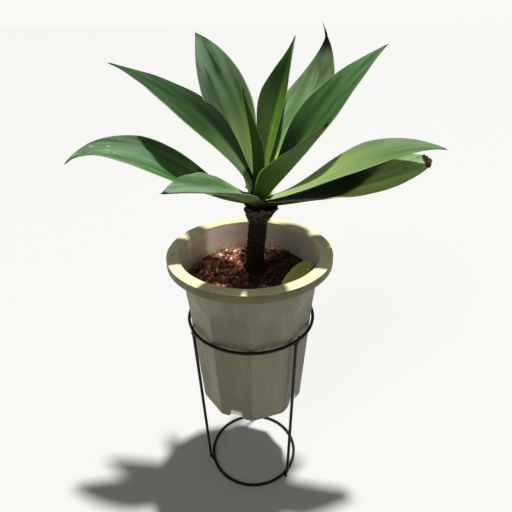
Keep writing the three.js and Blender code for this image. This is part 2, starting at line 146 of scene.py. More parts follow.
def paint_ramp(node: bpy.types.Node, stops: Sequence[tuple[float, Any]]) -> bpy.types.Node:
    """Sets a colour ramp's stops.

    Args:
        node: the ramp.
        stops: place and colour, as a hex code or a grey value.

    Returns:
        The ramp.
    """
    elements = node.color_ramp.elements
    while len(elements) < len(stops):
        elements.new(1.0)
    for element, (place, colour) in zip(elements, stops):
        element.position = place
        element.color = linear(colour) if isinstance(colour, str) else (colour, colour, colour, 1.0)
    return node


def make_piece(
    name: str,
    points: Sequence[Any] | Array,
    faces: Sequence[Face] = (),
    values: dict[str, Any] | None = None,
    edges: Sequence[tuple[int, int]] = (),
    loose: bool = False,
) -> bpy.types.Object:
    """Makes a smooth mesh object from points in millimetres.

    Args:
        name: the object's name.
        points: three numbers for each corner.
        faces: corner numbers, counter-clockwise from outside.
        values: numbers or vectors kept at each corner, by name, for the materials and trees.
        edges: pairs of corner numbers, for a path.
        loose: makes a shape about the origin for a geometry tree to repeat; it is not a piece.

    Returns:
        The object, at the origin, with its place in its mesh.
    """
    placed = np.asarray([tuple(point) for point in points], float) * MM
    if not loose:
        placed = placed + np.array(pot_axis())
    mesh = bpy.data.meshes.new(name)
    mesh.from_pydata(placed.tolist(), list(edges), list(faces))
    for key, value in (values or {}).items():
        flat = np.ascontiguousarray(value, np.float32)
        kind, slot = ("FLOAT", "value") if flat.ndim == 1 else ("FLOAT_VECTOR", "vector")
        mesh.attributes.new(key, kind, "POINT").data.foreach_set(slot, flat.ravel())
    mesh.polygons.foreach_set("use_smooth", [True] * len(mesh.polygons))
    mesh.update()
    made = bpy.data.objects.new(name, mesh)
    if not loose:
        bpy.context.scene.collection.objects.link(made)
    return made


def ring_faces(rows: int, count: int, closed: bool = False, clockwise: bool = False) -> list[Face]:
    """Faces of a tube made of rings of corners that follow one another.

    Args:
        rows: the number of rings.
        count: corners in each ring.
        closed: adds fans to the middles of the first and the last ring, the two corners after the rings.
        clockwise: whether the rings run clockwise, seen from the tube's last end.

    Returns:
        Corner numbers, counter-clockwise from outside.
    """
    after = [(j + 1) % count for j in range(count)]
    faces: list[Face] = []
    for first in range(0, (rows - 1) * count, count):
        faces += [(first + j, first + k, first + k + count, first + j + count) for j, k in enumerate(after)]
    if closed:
        low, last = rows * count, (rows - 1) * count
        for j, k in enumerate(after):
            faces += [(low, k, j), (low + 1, last + j, last + k)]
    if clockwise:
        faces = [(*d, c, b, a) if d else (a, c, b) for a, b, c, *d in faces]
    return faces


def blade_section(count: int) -> tuple[Array, Array]:
    """Round a blade's section: each place's share of the half width, and 1 on the top or -1 beneath."""
    across = np.sin(np.linspace(-math.pi / 2, math.pi / 2, count))
    return np.concatenate([across, across[-2:0:-1]]), np.repeat([1.0, -1.0], [count, count - 2])


def apply_tree(piece: bpy.types.Object, tree: bpy.types.NodeTree, inputs: dict[str, Any]) -> bpy.types.Object:
    """Runs a geometry tree on a piece and keeps the result as a plain mesh.

    Args:
        piece: the object whose mesh goes in.
        tree: the geometry tree.
        inputs: values by the names of the tree's inputs.

    Returns:
        The same object, with the new mesh and no modifier.
    """
    modifier = piece.modifiers.new(tree.name, "NODES")
    modifier.node_group = tree
    sockets = {item.name: item.identifier for item in tree.interface.items_tree if item.in_out == "INPUT"}
    for name, value in inputs.items():
        modifier[sockets[name]] = value
    graph = bpy.context.evaluated_depsgraph_get()
    result = bpy.data.meshes.new_from_object(piece.evaluated_get(graph), depsgraph=graph)
    piece.modifiers.remove(modifier)
    old, piece.data = piece.data, result
    bpy.data.meshes.remove(old)
    result.name = piece.name
    return piece


def new_geometry_tree(name: str, inputs: dict[str, tuple[str, Any]]) -> tuple[bpy.types.NodeTree, Adder, Any]:
    """Starts a geometry tree with named inputs, the last of them its material.

    Args:
        name: the tree's name.
        inputs: the kind of socket and its value, by name; None leaves the value unset.

    Returns:
        The tree, add_node for that tree, and the outputs of its group input.
    """
    tree = bpy.data.node_groups.new(name, "GeometryNodeTree")
    for way in ("INPUT", "OUTPUT"):
        tree.interface.new_socket("Geometry", in_out=way, socket_type="NodeSocketGeometry")
    for key, (kind, value) in {**inputs, "Material": ("Material", None)}.items():
        socket = tree.interface.new_socket(key, in_out="INPUT", socket_type=f"NodeSocket{kind}")
        if value is not None:
            socket.default_value = value
    return tree, partial(add_node, tree), tree.nodes.new("NodeGroupInput").outputs


def finish_geometry_tree(tree: bpy.types.NodeTree, given: Any, geometry: Any) -> bpy.types.NodeTree:
    """Ends a tree: real meshes in place of instances, then the material.

    Args:
        tree: the tree.
        given: the outputs of its group input.
        geometry: what to end with.

    Returns:
        The tree.
    """
    real = add_node(tree, REALIZE, geometry)
    dressed = add_node(tree, "GeometryNodeSetMaterial", real, Material=given["Material"])
    add_node(tree, "NodeGroupOutput", dressed)
    return tree


def wire_tree() -> bpy.types.NodeTree:
    """A round wire swept along the edges of a path.

    Returns:
        The tree.
    """
    inputs = {"Wire radius": ("Float", 2.5 * MM), "Sides": ("Int", 16)}
    tree, add, given = new_geometry_tree("wire_along_path", inputs)
    path = add("GeometryNodeMeshToCurve", given["Geometry"])
    profile = add("GeometryNodeCurvePrimitiveCircle", Resolution=given["Sides"], Radius=given["Wire radius"])
    wire = add("GeometryNodeCurveToMesh", Curve=path, Profile_Curve=profile, Fill_Caps=True)
    return finish_geometry_tree(tree, given, add("GeometryNodeSetShadeSmooth", wire))


def marks_tree() -> bpy.types.NodeTree:
    """A shape set on every mark of a point mesh, turned and sized by what each mark says.

    A mark keeps its turn (Euler angles) in mark_turn and its size along each axis in mark_size.

    Returns:
        The tree.
    """
    tree, add, given = new_geometry_tree("shape_on_marks", {"Shape": ("Object", None), "Size": ("Float", 1.0)})
    shape = add(OBJECT, given["Shape"], transform_space="ORIGINAL", As_Instance=True).outputs["Geometry"]
    named = partial(add, "GeometryNodeInputNamedAttribute", data_type="FLOAT_VECTOR")
    turn, size = named("mark_turn"), named("mark_size")
    scaled = add(VECTOR, size, given["Size"], operation="SCALE")
    turned = add("FunctionNodeEulerToRotation", turn)
    placed = add(INSTANCES, given["Geometry"], Instance=shape, Rotation=turned, Scale=scaled)
    return finish_geometry_tree(tree, given, placed)


def crumbs_tree() -> bpy.types.NodeTree:
    """Soil crumbs strewn over the upward faces of a bed within reach of its axis, joined with the bed itself.

    Returns:
        The tree.
    """
    tree, add, given = new_geometry_tree(
        "crumbs_on_bed",
        {
            "Crumb": ("Object", None),
            "Spacing": ("Float", 3.4 * MM),
            "Smallest": ("Float", 0.45),
            "Largest": ("Float", 1.25),
            "Seed": ("Int", 7),
            "Axis": ("Vector", (0.0, 0.0, 0.0)),
            "Reach": ("Float", 96.0 * MM),
        },
    )
    steep, densest, smaller_more_often = 0.6, 400000.0, 1.6
    rise = add(SEPARATE, add("GeometryNodeInputNormal")).outputs["Z"]
    upward = add(COMPARE, rise, steep, operation="GREATER_THAN")
    level = add(VECTOR, add("GeometryNodeInputPosition"), (1.0, 1.0, 0.0), operation="MULTIPLY")
    away = add(VECTOR, level, given["Axis"], operation="DISTANCE")
    within = add(COMPARE, away, given["Reach"], operation="LESS_THAN")
    strewn = add(
        "GeometryNodeDistributePointsOnFaces",
        distribute_method="POISSON",
        Mesh=given["Geometry"],
        Selection=add("FunctionNodeBooleanMath", upward, within, operation="AND"),
        Distance_Min=given["Spacing"],
        Density_Max=densest,
        Seed=given["Seed"],
    )
    crumb = add(OBJECT, given["Crumb"], transform_space="ORIGINAL", As_Instance=True).outputs["Geometry"]
    turn = add(RANDOM, None, (math.tau, math.tau, math.tau), Seed=given["Seed"], data_type="FLOAT_VECTOR")
    chance = add(MATH, add(RANDOM, Seed=31), smaller_more_often, operation="POWER")
    size = add(RANGE, chance, 0.0, 1.0, given["Smallest"], given["Largest"])
    placed = add(INSTANCES, strewn, Instance=crumb, Rotation=turn, Scale=size)
    toned = add(
        "GeometryNodeStoreNamedAttribute",
        placed,
        Name="crumb_tone",
        Value=add(RANDOM, Seed=53),
        data_type="FLOAT",
        domain="INSTANCE",
    )
    joined = add("GeometryNodeJoinGeometry")
    for part in (given["Geometry"], toned.outputs["Geometry"]):
        tree.links.new(part, joined.inputs["Geometry"])
    return finish_geometry_tree(tree, given, joined)


def turned_copies_tree() -> bpy.types.NodeTree:
    """Copies of one sector turned about the vertical axis, welded, with notches cut through the bottom edge.

    Returns:
        The tree.
    """
    tree, add, given = new_geometry_tree(
        "turned_copies",
        {
            "Copies": ("Int", 10),
            "Axis": ("Vector", (0.0, 0.0, 0.0)),
            "Notches": ("Int", 5),
            "First notch": ("Float", 0.0),
            "Notch": ("Object", None),
        },
    )

    def turned(count: Any, start: Any, geometry: Any) -> bpy.types.Node:
        """Real copies of a geometry at equal turns about the axis.

        Args:
            count: how many.
            start: the first one's turn, in radians.
            geometry: what is copied, about the origin.

        Returns:
            The node that makes them real.
        """
        share = add(MATH, add("GeometryNodeInputIndex"), count, operation="DIVIDE")
        angle = add(MATH, share, math.tau, start, operation="MULTIPLY_ADD")
        rotation = add("FunctionNodeEulerToRotation", add("ShaderNodeCombineXYZ", Z=angle))
        spots = add("GeometryNodePoints", Count=count, Position=given["Axis"])
        return add(REALIZE, add(INSTANCES, spots, Instance=geometry, Rotation=rotation))

    back = add(VECTOR, given["Axis"], -1.0, operation="SCALE")
    centred = add("GeometryNodeTransform", given["Geometry"], Translation=back)
    sectors = turned(given["Copies"], 0.0, centred)
    welded = add("GeometryNodeMergeByDistance", sectors, Distance=0.02 * MM)
    cutter = add(OBJECT, given["Notch"], transform_space="ORIGINAL").outputs["Geometry"]
    notches = turned(given["Notches"], given["First notch"], cutter)
    cut = add("GeometryNodeMeshBoolean", operation="DIFFERENCE", solver="EXACT", Mesh_1=welded, Mesh_2=notches)
    return finish_geometry_tree(tree, given, cut)


def lump(name: str, radius: float, cuts: int, roughness: float, seed: float) -> bpy.types.Object:
    """An uneven rounded lump made from a cube's faces pushed out to a ball.

    Args:
        name: the shape's name.
        radius: its mean radius in millimetres.
        cuts: squares along each edge of the cube.
        roughness: unevenness over the radius.
        seed: shifts the noise.

    Returns:
        The shape.
    """
    noise_scale = 1.7
    seen: dict[tuple[int, ...], int] = {}
    points: list[Vector] = []
    faces: list[Face] = []

    def corner(grid: tuple[int, ...]) -> int:
        """Finds a corner, or makes it when it is first asked for.

        Args:
            grid: its place on the cube's grid.

        Returns:
            Its number.
        """
        if grid not in seen:
            seen[grid] = len(points)
            ball = (Vector(grid) * 2 / cuts - Vector((1, 1, 1))).normalized()
            swell = 1 + roughness * wobble(*(ball * noise_scale + Vector((seed, seed, seed))))
            points.append(ball * radius * swell)
        return seen[grid]

    for axis in range(3):
        for side in (0, cuts):
            for i in range(cuts):
                for j in range(cuts):
                    square = []
                    for u, v in ((i, j), (i + 1, j), (i + 1, j + 1), (i, j + 1)):
                        grid = [0, 0, 0]
                        grid[axis], grid[(axis + 1) % 3], grid[(axis + 2) % 3] = side, u, v
                        square.append(corner(tuple(grid)))
                    faces.append(tuple(square if side else square[::-1]))
    return make_piece(name, points, faces, loose=True)


def set_on_marks(name: str, marks: list[Any], shape: bpy.types.Object, material: Any) -> bpy.types.Object:
    """Makes a piece of one shape set on marks.

    Args:
        name: the piece's name.
        marks: a spot, Euler angles and a size along each axis for each.
        shape: what is set on them.
        material: the finish.

    Returns:
        The piece.
    """
    spots, turns, sizes = zip(*marks)
    piece = make_piece(name, spots, values={"mark_turn": turns, "mark_size": sizes})
    return apply_tree(piece, marks_tree(), {"Shape": shape, "Size": 1.0, "Material": material})


def ride(piece: bpy.types.Object, slot: str, *nodes: str) -> None:
    """Hands a piece to the frame.

    Args:
        piece: the finished piece.
        slot: its material slot; not used.
        nodes: the solids that it stands for.
    """
    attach(piece, BODY)
    if nodes:
        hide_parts(*nodes)
    LOG.info("%s: %d faces", piece.name, len(piece.data.polygons))


# ---- finishes ----
@dataclass(frozen=True)
class Finish:
    """A surface: what every one of them has."""

    name: str
    roughness: float
    ior: float = 1.5

    def start(self) -> tuple[bpy.types.Material, Adder]:
        """Starts the material.

        Returns:
            The material, with no nodes, and add_node for its tree.
        """
        material = bpy.data.materials.new(self.name)
        material.use_nodes = True
        material.node_tree.nodes.clear()
        return material, partial(add_node, material.node_tree)

    def shade(self, add: Adder, colour: Any, relief: Any, **more: Any) -> None:
        """Ends a material with its shader: base colour, relief and further inputs by name."""
        inputs = {"Base_Color": colour, "Roughness": self.roughness, "IOR": self.ior, "Normal": relief, **more}
        add("ShaderNodeOutputMaterial", add("ShaderNodeBsdfPrincipled", **inputs))


@dataclass(frozen=True)
class LeafSkin(Finish):
    """Fresh agave leaf: waxy cuticle with a dull blue-grey bloom over fibres that run lengthwise.

    The wax spreads the highlight wide, and the fibres draw fine streaks from base to tip. Real fibres are
    about 1 mm apart; the finest streaks here are 2.5 mm, so that they show.
    """

    deep: str = "#2f4d22"
    bloom: str = "#4a6c3c"
    frost: str = "#6f8c70"
    frosting: float = 0.55
    heart: str = "#69903a"
    heart_reach: float = 0.42
    margin: str = "#a3b487"
    tinge: str = "#5d5c4a"
    beneath: str = "#5d7a3a"
    # The colour of the painted shade in the band beside the midrib.
    painted_shade: str = "#0c2006"
    freckle: str = "#9aa382"
    root: str = "#1b1d10"
    tip: str = "#1c1510"
    tip_start: float = 0.975
    tip_spread: float = 0.025
    gloss: float = 0.12
    scratches: float = 0.0
    scratch: str = "#c3ccb4"
    # Each leaf's colour scale is partly its own tone and partly painted light and shade.
    tone_and_painted_light: tuple[float, float, float] = (1.0, 1.0, 1.0)
    # Painted shade beside the midrib: which side, how far along, how dark and how slanted it is.
    painted_shade_side: int = 0
    painted_shade_reach: float = 0.5
    painted_shade_depth: float = 0.7
    painted_shade_sweep: float = 0.0

    def build(self) -> bpy.types.Material:
        """Lays out the nodes.

        Along runs from 0 at the base to 1 at the tip, across from -1 to 1 between the edges.

        Returns:
            The material.
        """
        material, add = self.start()
        spot = add(ATTRIBUTE, attribute_name="blade_mm").outputs["Vector"]
        across, along, upper = (
            add(ATTRIBUTE, attribute_name=name).outputs["Fac"] for name in ("across", "along", "upper")
        )

        def streaks(width: float, length: float, detail: float) -> bpy.types.Node:
            """Noise drawn out along the leaf, its features width by length millimetres."""
            return add(NOISE, add(VECTOR, spot, (1 / width, 1 / length, 1.0), operation="MULTIPLY"), 1.0, detail)

        broad, fine, cloud = streaks(9.0, 150.0, 2.0), streaks(2.5, 90.0, 2.0), streaks(14.0, 110.0, 3.0)
        # Green under clouds of bloom, which frosts the outer part; the heart at the base is yellower.
        waxed = add(RANGE, cloud, 0.3, 0.7)
        green = add(MIX, waxed, self.deep, self.bloom, **COLOUR)
        outwards = add(RANGE, along, 0.35, 1.0, 0.0, self.frosting, **SMOOTH)
        frosted = add(MIX, add(MATH, outwards, waxed, operation="MULTIPLY"), green, self.frost, **COLOUR)
        near_base = add(RANGE, along, self.heart_reach, 0.02, 0.0, 0.85, **SMOOTH)
        based = add(MIX, near_base, frosted, self.heart, **COLOUR)
        both = add(MATH, broad, fine, operation="ADD")
        streaked = add(RANGE, both, 0.7, 1.3, 0.74, 1.26)
        # Painted light and shade: each leaf's colour is scaled by its own factor, partly its own tone, brighter
        # for leaves that stand in sunlight and darker for those in shadow.
        toned_and_lit = add(VECTOR, based, self.tone_and_painted_light, operation="MULTIPLY")
        lined = add(VECTOR, toned_and_lit, streaked, operation="SCALE")
        # A pale horny line along each edge, brownish towards the tip.
        edge_line = add(RANGE, add(MATH, across, operation="ABSOLUTE"), 0.93, 0.99, 0.0, 0.8, **SMOOTH)
        edge_colour = add(MIX, add(RANGE, along, 0.45, 0.85, **SMOOTH), self.margin, self.tinge, **COLOUR)
        colour = add(MIX, edge_line, lined, edge_colour, **COLOUR)
        if self.painted_shade_side:
            # Painted shade: beside the midrib, towards the base, the blade is darkened to a deep green where
            # shadow falls; a sweep slants the shaded band along the leaf.
            reach, sweep = self.painted_shade_reach, self.painted_shade_sweep
            reached = add(MATH, along, -sweep, sweep * reach, operation="MULTIPLY_ADD")
            beside = add(MATH, across, float(self.painted_shade_side), reached, operation="MULTIPLY_ADD")
            inner = add(RANGE, beside, -0.12, 0.22, 0.0, self.painted_shade_depth, **SMOOTH)
            near = add(RANGE, along, reach + 0.25, reach - 0.1, **SMOOTH)
            colour = add(MIX, add(MATH, inner, near, operation="MULTIPLY"), colour, self.painted_shade, **COLOUR)
        specks = add(RANGE, streaks(3.0, 5.0, 4.0), 0.70, 0.74, 0.0, 0.35)
        colour = add(MIX, specks, colour, self.freckle, **COLOUR)
        if self.scratches:
            # Rubbed or cracked lines over the outer third, each about 2 mm by 12 mm.
            window = add(RANGE, along, 0.55, 0.9, 0.0, self.scratches, **SMOOTH)
            level = add(MATH, streaks(2.2, 12.0, 3.0), window, operation="ADD")
            colour = add(MIX, add(RANGE, level, 0.72, 0.78, 0.0, 0.8), colour, self.scratch, **COLOUR)
        # The underside mixes halfway to its own colour; leaves that set it darker or paler carry painted shade and
        # light in it.
        below = add(MIX, 0.5, colour, self.beneath, **COLOUR)
        # Painted shade: the underside near each leaf's foot, in the shadow under the crown, is darkened nearly to
        # black.
        foot = add(RANGE, along, 0.34, 0.1, 0.0, 0.9, **SMOOTH)
        under = add(MIX, foot, below, self.root, **COLOUR)
        sided = add(MIX, upper, under, colour, **COLOUR)
        # The tip dries out along a ragged line.
        ragged = add(MATH, fine, 0.03, along, operation="MULTIPLY_ADD")
        start = self.tip_start + 0.005
        dried = add(RANGE, ragged, start, start + self.tip_spread, **SMOOTH)
        tipped = add(MIX, dried, sided, self.tip, **COLOUR)
        relief = add(BUMP, Strength=0.35, Distance=0.25 * MM, Height=both)
        shine = add(RANGE, cloud, 0.3, 0.7, self.roughness - 0.06, self.roughness + 0.1)
        self.shade(add, tipped, relief, Roughness=shine, Specular_IOR_Level=self.gloss)
        return material


class WearAndShade(Enum):
    """How the plastic has aged, with painted shade and light, as places on its ramp of colours."""

    HANDLED = 0.0
    LINING = 0.3
    WEATHERED = 0.6
    SKIRT = 0.9


@dataclass(frozen=True)
class MouldedPlastic(Finish):
    """Injection-moulded polypropylene, cream: an even satin skin, greyed by dust and rubbed in places.

    The rim's top is handled and stays clean; the body is greyer, partly from dust and partly painted shade; the
    skirt under the rim is painted olive shade; the inside is painted lighter, as if lit.
    """

    cream: str = "#e0d8ac"
    # Painted light and shade: the lining is lighter, as if lit; the body is darker, partly as if shaded; the skirt
    # is olive, as shade.
    lining: str = "#efe2d2"
    weathered: str = "#746f59"
    skirt: str = "#5c5430"
    grime_and_shade: str = "#3f3122"
    mark: str = "#1a1712"
    speck: tuple[float, float, float] = (-114.8, -12.9, 451.0)
    speck_radius: float = 1.6
    scratch: tuple[tuple[float, float, float], ...] = ((-69.2, -58.8, 299.3), (-67.0, -54.9, 236.2))
    scratch_half: float = 0.8
    facet_painted_shading: tuple[float, ...] = (0.48, 0.5, 0.52, 0.58, 0.39, 0.5, 0.42, 0.47, 0.51, 0.46)

    def build(self) -> bpy.types.Material:
        """Lays out the nodes.

        Returns:
            The material.
        """
        material, add = self.start()
        place = add(PLACE).outputs["Object"]
        dirt, wear, inside, facet = (
            add(ATTRIBUTE, attribute_name=name).outputs["Fac"] for name in ("dirt", "wear", "inside", "facet")
        )
        colours = (self.cream, self.lining, self.weathered, self.skirt)
        aged = paint_ramp(add(RAMP, wear), [(place.value, tone) for place, tone in zip(WearAndShade, colours)])
        # Smears run down the wall, 25 mm apart and 110 mm long; scuffs run level round the inside, 4 mm apart.
        streak = add(NOISE, add(MAPPING, place, Scale=(40.0, 40.0, 9.0)), 1.0, 5.0, 0.6)
        scuff = add(NOISE, add(MAPPING, place, Scale=(14.0, 14.0, 260.0)), 1.0, 4.0, 0.6)
        both = add(MATH, streak, add(MIX, inside, streak, scuff, data_type="FLOAT"), operation="ADD")
        dust = add(RANGE, both, 0.7, 1.3, 1.1, 0.86)
        # Painted shading: each facet is lighter or darker by its own amount, as light falls on it; the ramp goes
        # round from the back by the left.
        axis = pot_axis()
        split = add(SEPARATE, add(VECTOR, place, axis, operation="SUBTRACT")).outputs
        forward = add(MATH, split["Y"], -1.0, operation="MULTIPLY")
        turn = add(MATH, split["X"], forward, operation="ARCTAN2")
        tones = add(RAMP, add(MATH, turn, 1 / math.tau, 0.5, operation="MULTIPLY_ADD"))
        tones.color_ramp.interpolation = "CONSTANT"
        paint_ramp(tones, [(k / len(self.facet_painted_shading), tone) for k, tone in enumerate(self.facet_painted_shading)])
        toned = add(MIX, facet, (0.5, 0.5, 0.5, 1.0), tones, **COLOUR)
        # Painted light and shade: the inside is lighter to the left and darker to the right.
        inside_painted_light = add(RANGE, split["X"], -70 * MM, 60 * MM, 2.2, 1.5)
        dust_and_painted_light = add(MATH, dust, add(MIX, inside, 2.0, inside_painted_light, data_type="FLOAT"), operation="MULTIPLY")
        evened = add(VECTOR, aged, toned, operation="MULTIPLY")
        dulled = add(VECTOR, evened, dust_and_painted_light, operation="SCALE")
        # Grime, and the painted shadow at the hoop, sit in patches of about 6 mm.
        patches = add(RANGE, add(NOISE, place, 160.0, 4.0), 0.4, 0.65)
        colour = add(MIX, add(MATH, dirt, patches, operation="MULTIPLY"), dulled, self.grime_and_shade, **COLOUR)

        def marked(near: Any, reach: float) -> bpy.types.Node:
            """The colour, dark where a distance in metres is less than a reach in millimetres."""
            within = add(RANGE, near, reach * MM, reach * MM * 0.6, 0.0, 0.8)
            return add(MIX, within, colour, self.mark, **COLOUR)

        from_speck = add(VECTOR, place, Vector(self.speck) * MM + axis, operation="DISTANCE")
        colour = marked(from_speck, self.speck_radius)
        start, end = (Vector(spot) * MM + axis for spot in self.scratch)
        back = add(VECTOR, place, start, operation="SUBTRACT")
        beside = add(VECTOR, back, (end - start).normalized(), operation="CROSS_PRODUCT")
        middle = add(VECTOR, place, (start + end) / 2, operation="DISTANCE")
        beyond = add(MATH, middle, (end - start).length / 2, operation="GREATER_THAN")
        off_line = add(MATH, add(VECTOR, beside, operation="LENGTH"), beyond, operation="ADD")
        colour = marked(off_line, self.scratch_half)
        # The mould's fine grain, about 1 mm.
        relief = add(BUMP, Strength=0.2, Distance=0.05 * MM, Height=add(NOISE, place, 900.0, 2.0))
        rubbed = add(RANGE, streak, 0.0, 1.0, self.roughness - 0.08, self.roughness + 0.15)
        self.shade(add, colour, relief, Roughness=rubbed)
        return material


@dataclass(frozen=True)
class Grit(Finish):
    """Baked clay grit and bark crumbs: dull, reddish, each crumb of its own shade, a few pale chips."""

    shades: tuple[tuple[float, str], ...] = (
        (0.0, "#1c0f0a"),
        (0.25, "#4a2a1e"),
        (0.6, "#74483a"),
        (0.9, "#936550"),
        (0.985, "#9c6e58"),
        (0.992, "#c8aa86"),
    )
    # Painted light and shade on the soil: its brightness factor runs from the shaded front right to the lit back
    # left, over half_change millimetres either side of the axis.
    painted_lit_side: tuple[float, float, float] = (-0.8, 0.6, 0.0)
    painted_shade_level: float = 0.3
    dried: float = 1.9
    half_change: float = 14.0

    def build(self) -> bpy.types.Material:
        """Lays out the nodes.

        Returns:
            The material.
        """
        material, add = self.start()
        shade = paint_ramp(add(RAMP, add(ATTRIBUTE, attribute_name="crumb_tone").outputs["Fac"]), self.shades)
        place = add(PLACE).outputs["Object"]
        # Pores of about 1 mm.
        pores = add(NOISE, place, 900.0, 4.0, 0.65)
        dusty = add(RANGE, pores, 0.3, 0.75, 0.6, 1.35)
        # Painted light and shade: the soil is lighter at the back left, where sunlight falls, and darker at the
        # front and right, in shade.
        out = add(VECTOR, place, pot_axis(), operation="SUBTRACT")
        towards = add(VECTOR, out, self.painted_lit_side, operation="DOT_PRODUCT")
        change = self.half_change * MM
        painted_sun_and_shade = add(RANGE, towards, -change, change, self.painted_shade_level, self.dried, **SMOOTH)
        colour = add(VECTOR, shade, add(MATH, dusty, painted_sun_and_shade, operation="MULTIPLY"), operation="SCALE")
        self.shade(add, colour, add(BUMP, Strength=0.8, Distance=0.4 * MM, Height=pores))
        return material


@dataclass(frozen=True)
class DryFibre(Finish):
    """Dead plant skin, weathered: dark brown with grey raised edges and fibres that fray."""

    dark: str = "#080302"
    brown: str = "#180d07"
    grey: str = "#4b3d30"
    frayed: str = "#7a6a55"
    fibre_mm: tuple[float, float, float] = (6.0, 6.0, 1.2)
    gloss: float = 0.2

    def build(self) -> bpy.types.Material:
        """Lays out the nodes.

        Returns:
            The material.
        """
        material, add = self.start()
        scale = tuple(1 / (size * MM) for size in self.fibre_mm)
        fibre = add(NOISE, add(MAPPING, add(PLACE).outputs["Object"], Scale=scale), 1.0, 5.0, 0.65)
        shade = paint_ramp(add(RAMP, fibre), [(0.32, self.dark), (0.55, self.brown), (0.72, self.grey)])
        ridge = add(ATTRIBUTE, attribute_name="ridge").outputs["Fac"]
        raised = add(MIX, add(MATH, ridge, fibre, operation="MULTIPLY"), shade, self.frayed, **COLOUR)
        relief = add(BUMP, Strength=0.9, Distance=0.6 * MM, Height=fibre)
        self.shade(add, raised, relief, Specular_IOR_Level=self.gloss)
        return material


@dataclass(frozen=True)
class Enamel(Finish):
    """Dipped enamel on mild steel wire: near-black brown, satin, with rust coming through in specks."""

    black: str = "#060403"
    rust: str = "#1e0f07"
    gloss: float = 0.3
    rust_roughness: float = 0.8

    def build(self) -> bpy.types.Material:
        """Lays out the nodes.

        Returns:
            The material.
        """
        material, add = self.start()
        # Rust specks of about 8 mm and finer.
        blotch = add(NOISE, add(PLACE).outputs["Object"], 120.0, 6.0, 0.7)
        amount = add(RANGE, blotch, 0.52, 0.68, 0.0, 0.8)
        colour = add(MIX, amount, self.black, self.rust, **COLOUR)
        dull = add(RANGE, amount, 0.0, 1.0, self.roughness, self.rust_roughness)
        relief = add(BUMP, Strength=0.5, Distance=0.2 * MM, Height=blotch)
        self.shade(add, colour, relief, Roughness=dull, Specular_IOR_Level=self.gloss)
        return material


# ---- pot ----
class Row(Enum):
    """What a row of the pot's section follows."""

    ROUND = "a circle"
    OUTER = "the outer wall"
    INNER = "the inner wall"


